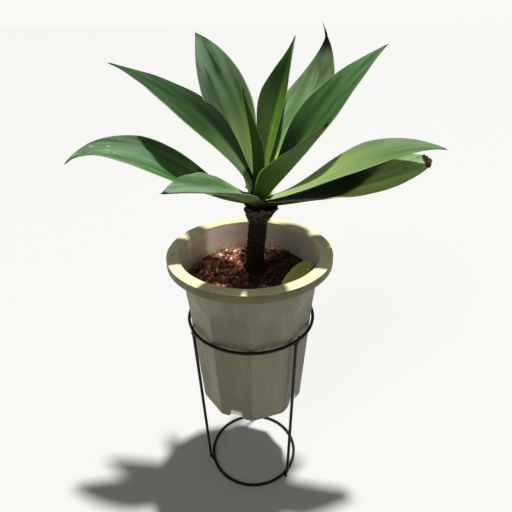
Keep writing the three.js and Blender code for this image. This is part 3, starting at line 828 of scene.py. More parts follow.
@dataclass
class Pot:
    """The moulded pot: ten flat facets with arched tops, a flat rim with a skirt, drain notches."""

    finish: MouldedPlastic
    rim_radius: float = 125.0
    rim_top: float = 451.0
    skirt_drop: float = 12.5
    bottom: float = 176.5
    wall: float = 2.6
    top_radius: float = 108.7
    shoulder_radius: float = 102.0
    base_radius: float = 87.0
    base_rounding: float = 6.0
    rim_rounding: float = 0.9
    facets: int = 10
    facet_full_top: float = 372.0
    facet_arch_top: float = 402.0
    floor_recess: float = 5.0
    floor_middle: float = 40.0
    notches: int = 5
    notch_width: float = 27.0
    notch_height: float = 11.0
    notch_depth: float = 34.0
    notch_shade: float = 0.72
    first_notch: float = -18.0
    columns_per_facet: int = 24
    edge_softness: float = 1.3
    blend: float = 0.3
    soil_line: float = 411.0
    hoop_line: float = 339.5

    def cone(self, height: float) -> float:
        """The round cone, rounded in at the bottom edge.

        Args:
            height: millimetres above the floor.

        Returns:
            The radius in millimetres.
        """
        if height > self.facet_arch_top:
            flare = between(height, self.facet_arch_top, self.rim_top - self.wall)
            return self.shoulder_radius + (self.top_radius - self.shoulder_radius) * flare
        above = height - self.bottom
        share = above / (self.facet_arch_top - self.bottom)
        under = min(max(1 - above / self.base_rounding, 0.0), 1.0)
        rounding = self.base_rounding * (1 - math.sqrt(1 - under * under))
        return self.base_radius + (self.shoulder_radius - self.base_radius) * share - rounding

    def body(self, azimuth: float, height: float) -> float:
        """The outer wall: the cone cut back to facets, with corners and arches a little rounded.

        Args:
            azimuth: degrees from the front.
            height: millimetres above the floor.

        Returns:
            The radius in millimetres.
        """
        half = 180 / self.facets
        rise = between(height, self.facet_full_top, self.facet_arch_top)
        width = half * math.sqrt(1 - rise * rise)
        from_corner = half - abs(azimuth % (2 * half) - half)
        softened = math.hypot(from_corner, self.edge_softness) - 0.4 * self.edge_softness
        cone = self.cone(height)
        flat = cone * math.cos(math.radians(width)) / math.cos(math.radians(half - softened))
        # The corners are worn away towards the bottom edge.
        worn = self.base_radius * math.cos(math.radians(half)) + 2.4 + 0.45 * (height - self.bottom)
        cone = min(cone, worn)
        return cone - self.blend * math.log1p(math.exp((cone - flat) / self.blend))

    def profile(self) -> list[tuple[Row, float, float]]:
        """The pot's section, from the middle of its underside out, up, over the rim and back down inside.

        Returns:
            For each row what it follows (round, outer or inner), a radius for a round row, and a height.
        """
        floor = self.bottom + self.floor_recess
        under, skirt = self.rim_top - self.wall, self.rim_top - self.skirt_drop
        hem, mouth = self.rim_radius - self.wall, self.top_radius - self.wall
        full, arch, top = self.facet_full_top, self.facet_arch_top, self.rim_top

        def follow(kind: Row, *heights: float) -> list[tuple[Row, float, float]]:
            """Rows that follow the outer wall or the inner one."""
            return [(kind, 0.0, height) for height in heights]

        rows = [(Row.ROUND, 0.0, floor), (Row.ROUND, self.floor_middle, floor)]
        rows += follow(Row.INNER, floor, floor - 0.5, self.bottom + 0.6)
        rounded = (self.bottom + self.base_rounding * share for share in (0.02, 0.1, 0.25, 0.5, 0.8, 1.0))
        rows += follow(Row.OUTER, *rounded)
        rows += follow(Row.OUTER, *np.linspace(self.bottom + 8, full - 4, 14), *np.linspace(full, arch + 1, 32))
        rows += follow(Row.OUTER, *np.linspace(arch + 4, under - 2, 7))
        lip = [(self.top_radius + 0.2, under - 1.0), (self.top_radius + 1.2, under - 0.1), (hem - 1, under)]
        lip += [(hem, under - 1), (hem, skirt + 0.5), (hem + 0.5, skirt), (self.rim_radius - 0.5, skirt)]
        lip += [(self.rim_radius, skirt + 0.5), (self.rim_radius - 0.25, top - 5)]
        for angle in map(math.radians, range(0, 91, 18)):
            reach = self.rim_radius - 0.25 + self.rim_rounding * (math.cos(angle) - 1)
            lip.append((reach, top + self.rim_rounding * (math.sin(angle) - 1)))
        # A shallow step round the mouth, where a saucer or a hanger would sit.
        step = ((4.6, 0.0), (4.3, 0.1), (3.9, 0.7), (3.6, 0.8), (0.9, 0.8), (0.5, 0.9), (0.1, 1.4), (-0.1, 4.0))
        lip += [(mouth + out, top - down) for out, down in step]
        rows += [(Row.ROUND, radius, height) for radius, height in lip]
        rows += follow(Row.INNER, *np.linspace(under - 4, arch + 2, 6), *np.linspace(arch - 2, full, 12))
        rows += follow(Row.INNER, 300.0, 240.0, floor + self.wall)
        return rows + [(Row.ROUND, self.floor_middle, floor + self.wall), (Row.ROUND, 0.0, floor + self.wall)]

    def dirt(self, kind: Row, azimuth: float, height: float) -> float:
        """How grimy a place is, with painted shade: a line of soil inside, a patchy painted shadow along the hoop,
        splashes at the bottom.

        Args:
            kind: what its row follows.
            azimuth: degrees from the front.
            height: millimetres above the floor.

        Returns:
            0 for clean to 1.
        """
        if kind == Row.INNER:
            return 0.5 * math.exp(-max(height - self.soil_line, 0) / 3)
        if kind == Row.ROUND:
            return 0.12
        patchy = 0.6 + 0.4 * wobble(azimuth / 11, 3.1)
        # Painted shadow: a patchy dark band along the hoop, where it meets the pot.
        hoop_shadow = 0.8 * math.exp(-(((height - self.hoop_line) / 2.6) ** 2)) * patchy
        return max(hoop_shadow, 0.0) + 0.15 * math.exp(-(height - self.bottom) / 14)

    def wear(self, kind: Row, radius: float, height: float) -> float:
        """How weathered a place is, with painted shade and light: the rim's top is handled and clean, its skirt
        and rounded outer edge are painted olive shade, the body is grey from dust and painted shade, the inside is
        painted lighter.

        Args:
            kind: what its row follows.
            radius: the row's radius, if it is round.
            height: millimetres above the floor.

        Returns:
            A place on the plastic's ramp.
        """
        if kind == Row.INNER and height > self.bottom + self.floor_recess:
            return WearAndShade.LINING.value
        if kind != Row.ROUND or height < self.rim_top - self.skirt_drop - 0.2:
            return WearAndShade.WEATHERED.value
        # Painted shade: the skirt and the rim's rounded outer edge take the olive of shade.
        edge = radius > self.rim_radius - 4 and height < self.rim_top - 0.2
        return (WearAndShade.SKIRT if edge else WearAndShade.HANDLED).value

    def sector(self) -> bpy.types.Object:
        """One tenth of the pot, centred on a corner, for the tree to copy round.

        Returns:
            The piece to be.
        """
        count = self.columns_per_facet + 1
        rows = self.profile()
        points: list[tuple[float, float, float]] = []
        values: dict[str, list[float]] = {"dirt": [], "wear": [], "inside": [], "facet": []}
        for kind, radius, height in rows:
            for azimuth in np.linspace(0, 360 / self.facets, count):
                reach, angle = radius, math.radians(azimuth)
                if kind != Row.ROUND:
                    reach = self.body(azimuth, height) - (self.wall if kind == Row.INNER else 0)
                points.append((reach * math.sin(angle), -reach * math.cos(angle), height))
                values["dirt"].append(self.dirt(kind, azimuth, height))
                values["wear"].append(self.wear(kind, radius, height))
                values["inside"].append(float(kind == Row.INNER and height > self.bottom + self.floor_recess))
                flat = min((self.cone(height) - reach) / 0.5, 1.0)
                values["facet"].append(flat if kind == Row.OUTER else 0.0)
        faces: list[Face] = []
        for i in range(len(rows) - 1):
            for a in range(i * count, i * count + count - 1):
                quad = (a, a + 1, a + 1 + count, a + count)
                if i == 0:
                    quad = (a, a + 1 + count, a + count)
                elif i == len(rows) - 2:
                    quad = (a, a + 1, a + count)
                faces.append(quad)
        return make_piece("pot_moulded", points, faces, values)

    def notch(self) -> bpy.types.Object:
        """The arched cutter of one drain notch, pointing to the front.

        Returns:
            The shape.
        """
        half, low = self.notch_width / 2, -4.0
        arch = [(-half, low), (half, low)]
        for angle in map(math.radians, range(0, 181, 12)):
            arch.append((half * math.cos(angle), self.notch_height * math.sin(angle)))
        near, far = -self.base_radius - 6, -self.base_radius + self.notch_depth
        points = [(x, y, self.bottom + z) for y in (near, far) for x, z in arch]
        count = len(arch)
        faces = [tuple(range(count)), tuple(range(2 * count - 1, count - 1, -1))]
        faces += [(j, j + count, (j + 1) % count + count, (j + 1) % count) for j in range(count)]
        # Painted shade: the notch's cut faces take a darker place on the ramp, as in a recess.
        return make_piece("drain_notch", points, faces, {"wear": [self.notch_shade] * len(points)}, loose=True)

    def build(self) -> None:
        """Makes and dresses the pot."""
        inputs = {
            "Copies": self.facets,
            "Axis": tuple(pot_axis()),
            "Notches": self.notches,
            "First notch": math.radians(self.first_notch),
            "Notch": self.notch(),
            "Material": self.finish.build(),
        }
        ride(apply_tree(self.sector(), turned_copies_tree(), inputs), "pot_plastic", "pot")


# ---- stand ----
@dataclass
class Stand:
    """A hoop that holds the pot, a foot ring and three bent legs, all of one enamelled wire."""

    finish: Enamel
    pot: Pot
    wire: float = 5.0
    gap: float = 0.3
    hoop_height: float = 335.0
    foot_ring_radius: float = 79.5
    ring_points: int = 144
    knee_size: float = 4.0
    knee_points: int = 9
    nub_turn: float = 5.0
    legs: dict[str, tuple[float, float]] = field(
        default_factory=lambda: {"left": (-62.0, -75.5), "right": (42.0, 47.0), "back": (170.0, 170.0)}
    )

    @property
    def hoop_radius(self) -> float:
        """Radius of the hoop's centre line: the pot's cone and a hair's breadth."""
        return self.pot.cone(self.hoop_height) + self.gap + self.wire / 2

    @property
    def across(self) -> float:
        """How far out, and how far up, a wire lies that is laid slantwise on the foot ring."""
        return (self.wire / 2 + self.gap) * math.sqrt(0.5)

    def ring(self, radius: float, height: float, seed: float) -> list[Vector]:
        """Centre line of a hand-bent ring, a little out of true.

        Args:
            radius: its mean radius.
            height: its height above the floor.
            seed: shifts the noise.

        Returns:
            Its points.
        """
        path = []
        for azimuth in np.linspace(0, 360, self.ring_points, endpoint=False):
            angle = math.radians(azimuth)
            bend = 0.35 * wobble(2 * math.cos(angle), 2 * math.sin(angle), seed)
            path.append(around(radius + max(bend, -0.25), azimuth, height))
        return path

    def leg(self, top: float, foot: float) -> list[Vector]:
        """Centre line of a leg: up against the hoop, the long straight, a knee in to the foot ring.

        Args:
            top: azimuth of its upper end.
            foot: azimuth of its knee.

        Returns:
            Its points.
        """
        out, up = self.foot_ring_radius + self.across, self.wire / 2 + self.across
        end = around(out - 1.0, foot, up - 0.6)
        knee = around(out + self.knee_size, foot, up + self.knee_size)
        shoulder = around(self.hoop_radius + 0.6, top, self.hoop_height - self.wire / 2 + 0.2)
        near = knee + (shoulder - knee).normalized() * 5
        path = [shoulder, *(shoulder.lerp(near, share) for share in (0.02, 0.5, 0.98))]
        for k in range(self.knee_points):
            share = k / (self.knee_points - 1)
            path.append(near * (1 - share) ** 2 + knee * 2 * share * (1 - share) + end * share**2)
        return path

    def welds(self, material: bpy.types.Material) -> None:
        """Lumps of weld where the legs meet the two rings.

        Args:
            material: the enamel.
        """
        large, small = (0.95, 1.0), (0.62, 0.7)
        marks = []
        for top, foot in self.legs.values():
            beside = top + self.nub_turn * math.copysign(1, top)
            for spot, azimuth, length, section in (
                (around(self.hoop_radius + 0.4, top, self.hoop_height - 3.2), top, 1.5, large),
                (around(self.foot_ring_radius + self.across, foot, self.wire / 2 + self.across), foot, 1.6, large),
                (around(self.hoop_radius - 0.6, beside, self.hoop_height + 2.2), top, 1.1, small),
                (around(self.foot_ring_radius + 5.5, foot - 2.5, self.wire / 2 + 0.4), foot + 60, 1.25, small),
            ):
                marks.append((spot, (0.0, 0.0, math.radians(azimuth)), (length, *section)))
        shape = lump("weld_lump", radius=3.3, cuts=5, roughness=0.5, seed=4.0)
        ride(set_on_marks("stand_welds", marks, shape, material), "enamelled_wire")

    def build(self) -> None:
        """Makes and dresses the stand: its wires, each for its own solid, and the welds."""
        material = self.finish.build()
        inputs = {"Wire radius": self.wire / 2 * MM, "Sides": 16, "Material": material}
        tree = wire_tree()
        paths = {
            "hoop": self.ring(self.hoop_radius, self.hoop_height, 1.0),
            "foot_ring": self.ring(self.foot_ring_radius, self.wire / 2, 5.0),
            **{f"leg_{side}": self.leg(top, foot) for side, (top, foot) in self.legs.items()},
        }
        for name, path in paths.items():
            edges = [(i, i + 1) for i in range(len(path) - 1)]
            if not name.startswith("leg"):
                edges.append((len(path) - 1, 0))
            piece = apply_tree(make_piece(f"wire_{name}", path, edges=edges), tree, inputs)
            ride(piece, "enamelled_wire", f"stand_{name}")
        self.welds(material)


# ---- soil ----
@dataclass
class Soil:
    """Gritty potting mix, mounded in the middle, with crumbs of several sizes on top."""

    finish: Grit
    pot: Pot
    edge_height: float = 406.0
    crown_height: float = 413.0
    levels: tuple[float, ...] = (250.0, 320.0, 372.0, 384.0, 394.0, 401.0)
    shrink: float = 0.7
    crumb: float = 3.7
    crumb_spacing: float = 4.6
    crumb_margin: float = 3.4
    crumb_sizes: tuple[float, float] = (0.6, 1.05)
    seed: int = 7
    columns: int = 120
    rows: int = 34

    def height(self, share: float, x: float, y: float) -> float:
        """Height of the bed's top at a share of its radius."""
        mound = self.crown_height + (self.edge_height - self.crown_height) * share * share
        return mound + 1.2 * wobble(x / 16, y / 16) + 0.7 * wobble(x / 5, y / 5, 3.0) - 1.0

    def bed(self) -> bpy.types.Object:
        """The body of the soil, closed down to the pot's floor.

        Returns:
            The piece to be.
        """
        points: list[tuple[float, float, float]] = []
        floor = self.pot.bottom + self.pot.floor_recess + self.pot.wall + 0.3
        rings = [(level, 1.0) for level in (floor, *self.levels)]
        rings += [(self.edge_height, 1 - i / self.rows) for i in range(self.rows)]
        for k, (level, share) in enumerate(rings):
            for j in range(self.columns):
                azimuth = 360 * j / self.columns
                reach = (self.pot.body(azimuth, level) - self.pot.wall - self.shrink) * share
                angle = math.radians(azimuth)
                x, y = reach * math.sin(angle), -reach * math.cos(angle)
                points.append((x, y, self.height(share, x, y) if k > len(self.levels) else level))
        points += [(0.0, 0.0, floor), (0.0, 0.0, self.height(0.0, 0.0, 0.0))]
        return make_piece("soil_bed", points, ring_faces(len(rings), self.columns, closed=True))

    def build(self) -> None:
        """Makes and dresses the soil."""
        inputs = {
            "Crumb": lump("soil_crumb", self.crumb, cuts=3, roughness=0.6, seed=9.0),
            "Spacing": self.crumb_spacing * MM,
            "Smallest": self.crumb_sizes[0],
            "Largest": self.crumb_sizes[1],
            "Seed": self.seed,
            "Axis": tuple(pot_axis()),
            "Reach": (self.pot.cone(self.edge_height) - self.pot.wall - self.crumb_margin) * MM,
            "Material": self.finish.build(),
        }
        ride(apply_tree(self.bed(), crumbs_tree(), inputs), "potting_soil", "soil")


# ---- trunk ----
@dataclass
class Trunk:
    """The bare stem: rings left by shed leaves, and a ragged collar of dead leaf bases at its top."""

    bark: DryFibre
    husk: DryFibre
    radius: float = 13.5
    heart_radii: tuple[float, float] = (12.5, 4)
    foot: float = 378.0
    top: float = 562.0
    lean: float = 0.055
    x_at_soil: float = 3.7
    soil_height: float = 406.0
    scar_pitch: float = 4.0
    collar_bottom: float = 503.0
    collar_top: float = 524.0
    collar_radius: float = 24.0
    collar_shift: float = 5.0
    collar_tiers: int = 5
    collar_first: int = 9
    bark_shift: tuple[float, float] = (2.0, 2.2)
    seed: int = 11
    sides: int = 72
    rows: int = 280
    husk_size: tuple[float, float, float] = (0.5, 10.5, 18)
    husk_grid: tuple[int, int] = (9, 7)

    def axis(self, height: float) -> float:
        """The trunk's centre, to the right of the pot's axis, as the leaves are set on it."""
        return self.x_at_soil + (height - self.soil_height) * self.lean

    def bend(self, height: float) -> float:
        """How far the bark stands to the right of that centre: the stem is not quite straight.

        Args:
            height: millimetres above the floor.

        Returns:
            Millimetres.
        """
        share = between(height, self.soil_height, self.collar_bottom)
        over = between(height, self.collar_top, self.top)
        low, more = self.bark_shift
        return (low + more * share) * (1 - over)

    def stem(self) -> bpy.types.Object:
        """The ringed stem, tapering to the heart between the leaf bases.

        Returns:
            The piece.
        """
        points, ridge = [], []
        for height in np.linspace(self.foot, self.top, self.rows):
            for k in range(self.sides):
                angle = math.tau * k / self.sides
                c, s = math.cos(angle), math.sin(angle)
                # Each scar is a ledge that widens upwards; the drift keeps the rings from being level.
                drift = 2.2 * wobble(1.4 * c, 1.4 * s, height / 30) + 3.6 * wobble(0.0, 0.0, height / 10)
                phase = ((height + drift) / self.scar_pitch) % 1.0
                ledge = 1.6 * phase**2 - 0.9 + 0.5 * wobble(5 * c, 5 * s, height / 5)
                ridge.append(max(phase - 0.6, 0.0) / 0.4)
                reach = self.radius + ledge + 0.9 * wobble(2 * c, 2 * s, height / 22)
                if height > self.collar_bottom:
                    share = between(height, self.collar_bottom, self.top)
                    wide, narrow = self.heart_radii
                    reach = wide + (narrow - wide) * share**1.4
                points.append((self.axis(height) + self.bend(height) + reach * c, reach * s, height))
        first = (self.rows - 1) * self.sides
        ends = [tuple(range(self.sides - 1, -1, -1)), tuple(range(first, first + self.sides))]
        return make_piece("trunk_bark", points, ring_faces(self.rows, self.sides) + ends, {"ridge": ridge})

    def husk_shape(self) -> bpy.types.Object:
        """One dead leaf base: a thin curved scale with a torn upper edge, standing on the origin.

        Returns:
            The shape.
        """
        across, up = self.husk_grid
        thick, wide, tall = self.husk_size
        points, ridge = [], []
        for side in (1, -1):
            for i in range(up):
                v = i / (up - 1)
                for j in range(across):
                    u = 2 * j / (across - 1) - 1
                    torn = 0.16 * wobble(u * 4.0, 2.0) if i == up - 1 else 0.0
                    width = wide * (0.75 + 0.55 * v - 0.55 * v * v)
                    bow = 3.5 * v * v - 2.6 * u * u
                    points.append((bow + side * thick * (1 - 0.6 * v), width * u, tall * (v + torn)))
                    ridge.append(max(v**5, abs(u) ** 6))
        count = across * up
        faces: list[Face] = []
        for i in range(up - 1):
            for a in range(i * across, i * across + across - 1):
                b = a + count
                faces += [(a, a + 1, a + 1 + across, a + across), (b, b + across, b + across + 1, b + 1)]
        rim = [*range(across), *(i * across + across - 1 for i in range(1, up))]
        rim += [*range(count - 2, count - across - 1, -1), *(i * across for i in range(up - 2, 0, -1))]
        faces += [(a, a + count, b + count, b) for a, b in zip(rim, rim[1:] + rim[:1])]
        return make_piece("husk_scale", points, faces, {"ridge": ridge}, loose=True)

    def collar(self) -> bpy.types.Object:
        """The dead leaf bases in tiers, each further out than the one below.

        Returns:
            The piece.
        """
        draw = np.random.default_rng(self.seed)
        marks = []
        for tier in range(self.collar_tiers):
            share = tier / (self.collar_tiers - 1)
            height = self.collar_bottom - 3 + (self.collar_top - self.collar_bottom - 9) * share
            reach = self.radius + 0.6 + (self.collar_radius - self.radius - 6.5) * share**0.9
            count = self.collar_first + tier
            for k in range(count):
                azimuth = math.tau * (k + 0.5 * (tier % 2)) / count + draw.uniform(-0.12, 0.12)
                lift = draw.uniform(-1.0, 1.0)
                centre = self.axis(height) + self.bend(height) + self.collar_shift * share * 0.8
                spot = (centre + reach * math.cos(azimuth), reach * math.sin(azimuth), height + lift)
                lean = 0.16 + 0.24 * share + draw.uniform(-0.08, 0.1)
                turn = (draw.uniform(-0.3, 0.3), lean, azimuth)
                scale = draw.uniform(0.75, 1.0)
                size = (scale, scale * draw.uniform(0.8, 1.1), scale * draw.uniform(0.6, 0.95))
                marks.append((spot, turn, size))
        return set_on_marks("dead_leaf_bases", marks, self.husk_shape(), self.husk.build())

    def build(self) -> None:
        """Makes and dresses the trunk and its collar."""
        stem = self.stem()
        stem.data.materials.append(self.bark.build())
        ride(stem, "bark", "trunk")
        ride(self.collar(), "dead_leaf_bases", "collar")


# ---- leaves ----
class TipKind(Enum):
    """How a leaf ends."""

    SPINE = "soft spine"
    WITHERED = "long dry black point"
    CUT = "cut across and scorched"


@dataclass
class Leaf:
    """One broad blade. The fields are the same as in the solid model, in degrees and millimetres."""

    name: str
    azimuth: float
    swing: float
    rise: tuple[float, float]
    bow: float
    length: float
    width: float
    roll: tuple[float, float]
    cup: float
    seat: float
    offset: float
    neck: float
    belly: float
    taper: float
    keep: float = 1.0
    tip: TipKind = TipKind.SPINE
    point_half: float = 4.0
    point_share: float = 0.12
    point_curl: float = 5.0
    crease: float = 1.6
    skin: dict[str, Any] = field(default_factory=dict)

    root: float = 9.0
    base_thickness: float = 8.0
    tip_thickness: float = 2.2
    edge_thickness: float = 1.3
    flattening: float = 0.6
    rounded_from: float = 0.86
    wave_height: float = 1.6
    ridge_height: float = 0.95
    jag_depth: float = 3.0
    least_half: float = 0.55
    spine: float = 3.5
    rows: int = 110
    columns: int = 29

    def direction(self, share: Array) -> Array:
        """Unit vectors along the midrib.

        Args:
            share: shares of the length.

        Returns:
            A row for each share.
        """
        turn = np.radians(self.azimuth + self.swing * share)
        lift = self.rise[0] + (self.rise[1] - self.rise[0]) * share + self.bow * 4 * share * (1 - share)
        up = np.radians(lift)
        return np.stack([np.cos(up) * np.cos(turn), np.cos(up) * np.sin(turn), np.sin(up)], 1)

    def midrib(self, trunk: Trunk, share: Array) -> tuple[Array, Array, Array, Array]:
        """Points, directions, sideways and upward vectors of the midrib.

        Args:
            trunk: where the leaf grows from.
            share: shares of the length, below 0 for the root.

        Returns:
            Four arrays with a row for each share.
        """
        steps = np.linspace(0, 1.05, 421)
        along = self.direction((steps[:-1] + steps[1:]) / 2)
        start = math.radians(self.azimuth)
        crown = np.array([trunk.axis(self.seat), 0.0, self.seat])
        first = crown + self.offset * np.array([math.cos(start), math.sin(start), 0.0])
        walk = np.vstack([first, first + np.cumsum(along, 0) * self.length * (steps[1] - steps[0])])
        forward = np.clip(share, 0, None)
        points = np.stack([np.interp(forward, steps, walk[:, k]) for k in range(3)], 1)
        points += np.minimum(share, 0)[:, None] * self.length * self.direction(np.zeros(len(share)))
        ahead = self.direction(forward)
        turn = np.radians(self.azimuth + self.swing * forward)
        flat = np.stack([-np.sin(turn), np.cos(turn), np.zeros(len(share))], 1)
        above = np.cross(ahead, flat)
        roll = np.radians(self.roll[0] + (self.roll[1] - self.roll[0]) * forward)[:, None]
        side = flat * np.cos(roll) + above * np.sin(roll)
        return points, ahead, side, np.cross(ahead, side)

    def half_width(self, share: Array) -> Array:
        """Half the blade's width.

        Args:
            share: shares of the length.

        Returns:
            Millimetres for each share.
        """
        inside = np.clip(share, 0, 1)
        swell = 0.5 - 0.5 * np.cos(np.pi * np.minimum(inside / self.belly, 1))
        past = np.clip((inside - self.belly) / (1 - self.belly), 0, 1)
        form = np.where(inside < self.belly, self.neck + (1 - self.neck) * swell, 1 - past**self.taper)
        half = np.maximum(self.width / 2 * form, self.least_half)
        if self.tip is TipKind.WITHERED:
            spike = self.point_half * (self.keep + 0.005 - share) / self.point_share
            half = np.where(share > self.belly, np.maximum(half, spike), half)
        return half

    def section(self, share: float, half: float, seed: int) -> tuple[Array, Array]:
        """The blade's section: cupped, thick at the midrib, its edges wavy.

        Args:
            share: its share of the length.
            half: half its width.
            seed: shifts the noise.

        Returns:
            How far sideways and how far up each corner is from the midrib.
        """
        loop, face = blade_section(self.columns)
        fold = math.radians(self.cup * (1 - self.flattening * max(share, 0)))
        core = self.base_thickness + (self.tip_thickness - self.base_thickness) * max(share, 0) ** 0.6
        core = min(core, half * 1.6)
        edge = min(self.edge_thickness, half * 0.8)
        thick = core + (edge - core) * loop**2
        near_edge = np.clip((np.abs(loop) - self.rounded_from) / (1 - self.rounded_from), 0, 1)
        rounding = np.sqrt(1 - near_edge**2)
        calm = math.sin(math.pi * min(max(share / self.keep, 0), 1)) ** 0.7
        waves = np.array([wobble(share * 7.0, seed + math.copysign(2.0, s)) for s in loop])
        ridges = np.array([wobble(s * 3.6, share * 1.4, seed + 0.5) for s in loop])
        wave = self.wave_height * calm * np.abs(loop) ** 3 * waves
        ridge = self.ridge_height * calm * (1 - loop**2) * ridges
        lift = half * math.sin(fold) * np.abs(loop) ** self.crease + wave + ridge * half / 20
        return half * math.cos(fold) * loop, lift + face * thick * rounding / 2

    def build(self, trunk: Trunk) -> None:
        """Makes and dresses the leaf.

        Args:
            trunk: what it grows from.
        """
        seed = sum(map(ord, self.name)) % 97
        loop, face = blade_section(self.columns)
        share = np.concatenate([[-self.root / self.length], np.linspace(0, 1, self.rows) ** 0.97]) * self.keep
        points, ahead, side, above = self.midrib(trunk, share)
        half = self.half_width(share)
        if self.tip is TipKind.WITHERED:
            past = np.clip((share - self.keep + self.point_share) / self.point_share, 0, 1)
            points[:, 0] -= self.point_curl * past**2
        grid, lateral = [], []
        for i, t in enumerate(share):
            offset, lift = self.section(t, half[i], seed)
            jag = np.zeros(len(loop))
            if self.tip is TipKind.CUT and i > self.rows - 4:
                jag = np.array([self.jag_depth * wobble(s * 6.0, 7.7) for s in loop]) * (i - self.rows + 4) / 4
            lateral.append(offset)
            offset, lift, jag = offset[:, None], lift[:, None], jag[:, None]
            grid.append(points[i] + offset * side[i] + lift * above[i] + jag * ahead[i])
        rows = len(share)
        end = points[-1] + ahead[-1] * (self.spine if self.tip is not TipKind.CUT else 0.0)
        corners = np.vstack([*grid, points[0], end])
        # Millimetres on the skin, shifted for each leaf and each side so that no pattern repeats.
        along, shift = np.repeat(share, len(loop)), seed * 31.0
        skin = np.stack([np.concatenate(lateral) + shift, along * self.length, np.tile(face, rows) * 9.0], 1)
        values = {
            "across": np.append(np.tile(loop, rows), [0, 0]),
            "along": np.append(along, [share[0], share[-1] + 0.01]),
            "upper": np.append(np.tile((face + 1) / 2, rows), [1, 1]),
            "blade_mm": np.vstack([skin, [[shift, 0, 0], [shift, self.length, 0]]]),
        }
        faces = ring_faces(rows, len(loop), closed=True, clockwise=True)
        piece = make_piece(f"blade_{self.name}", corners, faces, values)
        finish = LeafSkin(f"agave_leaf_waxy_{self.name}", roughness=0.52, ior=1.45, **self.skin)
        piece.data.materials.append(finish.build())
        ride(piece, "leaf", f"leaf_{self.name}")


LEAVES = [
    Leaf(
        "spear", 208.5, -9.6, (102, 82.2), -11, 138.5, 41.5, (10.6, -15.4), 25, 545, 4, 0.53, 0.5, 1.81,
        skin=dict(
            tone_and_painted_light=(0.5, 0.58, 0.32), frosting=0.1, heart="#5c8432", beneath="#2f4a18", gloss=0.05,
            painted_shade_side=-1, painted_shade_reach=0.9, painted_shade_depth=0.6,
        ),
    ),
    Leaf(
        "upper_left", 154.1, 2.6, (61, 13.4), -4, 280.5, 70, (-23.8, 4), 8.5, 550.5, 5.5, 0.2, 0.5, 1.49,
        skin=dict(
            tone_and_painted_light=(0.5, 0.54, 0.56), frosting=0.4, heart="#a3c27c", gloss=0.04, painted_shade_side=-1,
            painted_shade_reach=0.5, painted_shade_depth=0.95,
        ),
    ),
    Leaf(
        "tall_middle", 70.3, 4.2, (51.4, 36.8), -3.8, 277.5, 65.5, (10.4, -61.4), 47.5, 548.5, 10.5, 0.33, 0.58,
        1.8,
        skin=dict(
            tone_and_painted_light=(0.46, 0.56, 0.26), frosting=0.15, heart="#b0d46c", heart_reach=0.85, gloss=0.02,
            painted_shade_side=1, painted_shade_reach=0.8, painted_shade_depth=0.85,
        ),
    ),
    Leaf(
        "tall_right", 60, -26.2, (39.6, 95.8), -25, 260.5, 79, (20.2, 14.8), 22, 545, 10.5, 0.53, 0.6, 1.45,
        keep=1.05, tip=TipKind.WITHERED,
        skin=dict(
            tone_and_painted_light=(2.8, 2.3, 2.4), tip_start=0.87, tip_spread=0.1, beneath="#a9bf90",
            tinge="#8a8478",
        ),
    ),
    Leaf(
        "tall_left", 117.1, 4.4, (60.4, 30.6), 4.4, 267, 69, (-11.6, -29.6), 14.5, 542.5, 7.5, 0.28, 0.5, 1.9,
        skin=dict(
            tone_and_painted_light=(0.5, 0.55, 0.48), frosting=0.95, frost="#9db59b", heart="#b9da86",
            heart_reach=0.6, gloss=0.08,
        ),
    ),
    Leaf(
        "upper_right", 27.7, -2, (45, 30.2), 9, 271, 72.5, (23, 0.8), 28.5, 538, 13.5, 0.21, 0.51, 1.65,
        skin=dict(
            tone_and_painted_light=(0.95, 0.98, 0.9), gloss=0.05, painted_shade_side=1, painted_shade_reach=0.36, painted_shade_depth=0.97,
            painted_shade="#061604",
        ),
    ),
    Leaf(
        "front_right", 293.1, 2.4, (43.2, 43.4), -3.4, 211.5, 67.5, (5, 22.4), 30, 531, 10, 0.4, 0.56, 1.89,
        skin=dict(tone_and_painted_light=(0.7, 0.75, 0.4), beneath="#2f4a12", margin="#c0d67c", root="#1c2a0e"),
    ),
    Leaf(
        "far_left", 176, 0.2, (3.2, -41), 44.8, 278, 75, (-17.6, -17), 28, 530, 10, 0.35, 0.54, 1.55,
        skin=dict(
            tone_and_painted_light=(1.25, 1.14, 1.4), scratches=0.12, painted_shade_side=-1, painted_shade_reach=0.26,
            painted_shade_depth=0.95, painted_shade_sweep=14.0, painted_shade="#18240e",
        ),
    ),
    Leaf(
        "front_left", 251.3, -10, (28, 11), 5, 231, 68, (-20.6, -11.2), 29, 529, 8.5, 0.48, 0.5, 1.7,
        skin=dict(tone_and_painted_light=(1.6, 1.38, 1.75), heart="#7d9a62", beneath="#4a5538", gloss=0.2),
    ),
    Leaf(
        "right", 354.4, 8.8, (10.4, -15.6), 28.2, 260.5, 70.5, (3.8, 15), 23, 530.5, 10.5, 0.21, 0.61, 1.24,
        skin=dict(tone_and_painted_light=(1.12, 1.04, 0.95), heart="#97b46c", heart_reach=0.95, gloss=0.2),
    ),
    Leaf(
        "cut_right", 351.2, 21.2, (5, 4.6), 13.8, 246, 75.5, (-12.2, 40.2), 14.5, 526.5, 15, 0.42, 0.54, 1.8,
        keep=0.93, tip=TipKind.CUT,
        skin=dict(
            tone_and_painted_light=(3.0, 2.5, 2.2), heart="#8fa862", heart_reach=1.0, painted_shade_side=1,
            painted_shade_reach=0.62, painted_shade_depth=0.97, painted_shade_sweep=4.0, painted_shade="#12200a",
            tip_start=0.915, tip_spread=0.012, scratches=0.11, scratch="#2a2014",
        ),
    ),
]


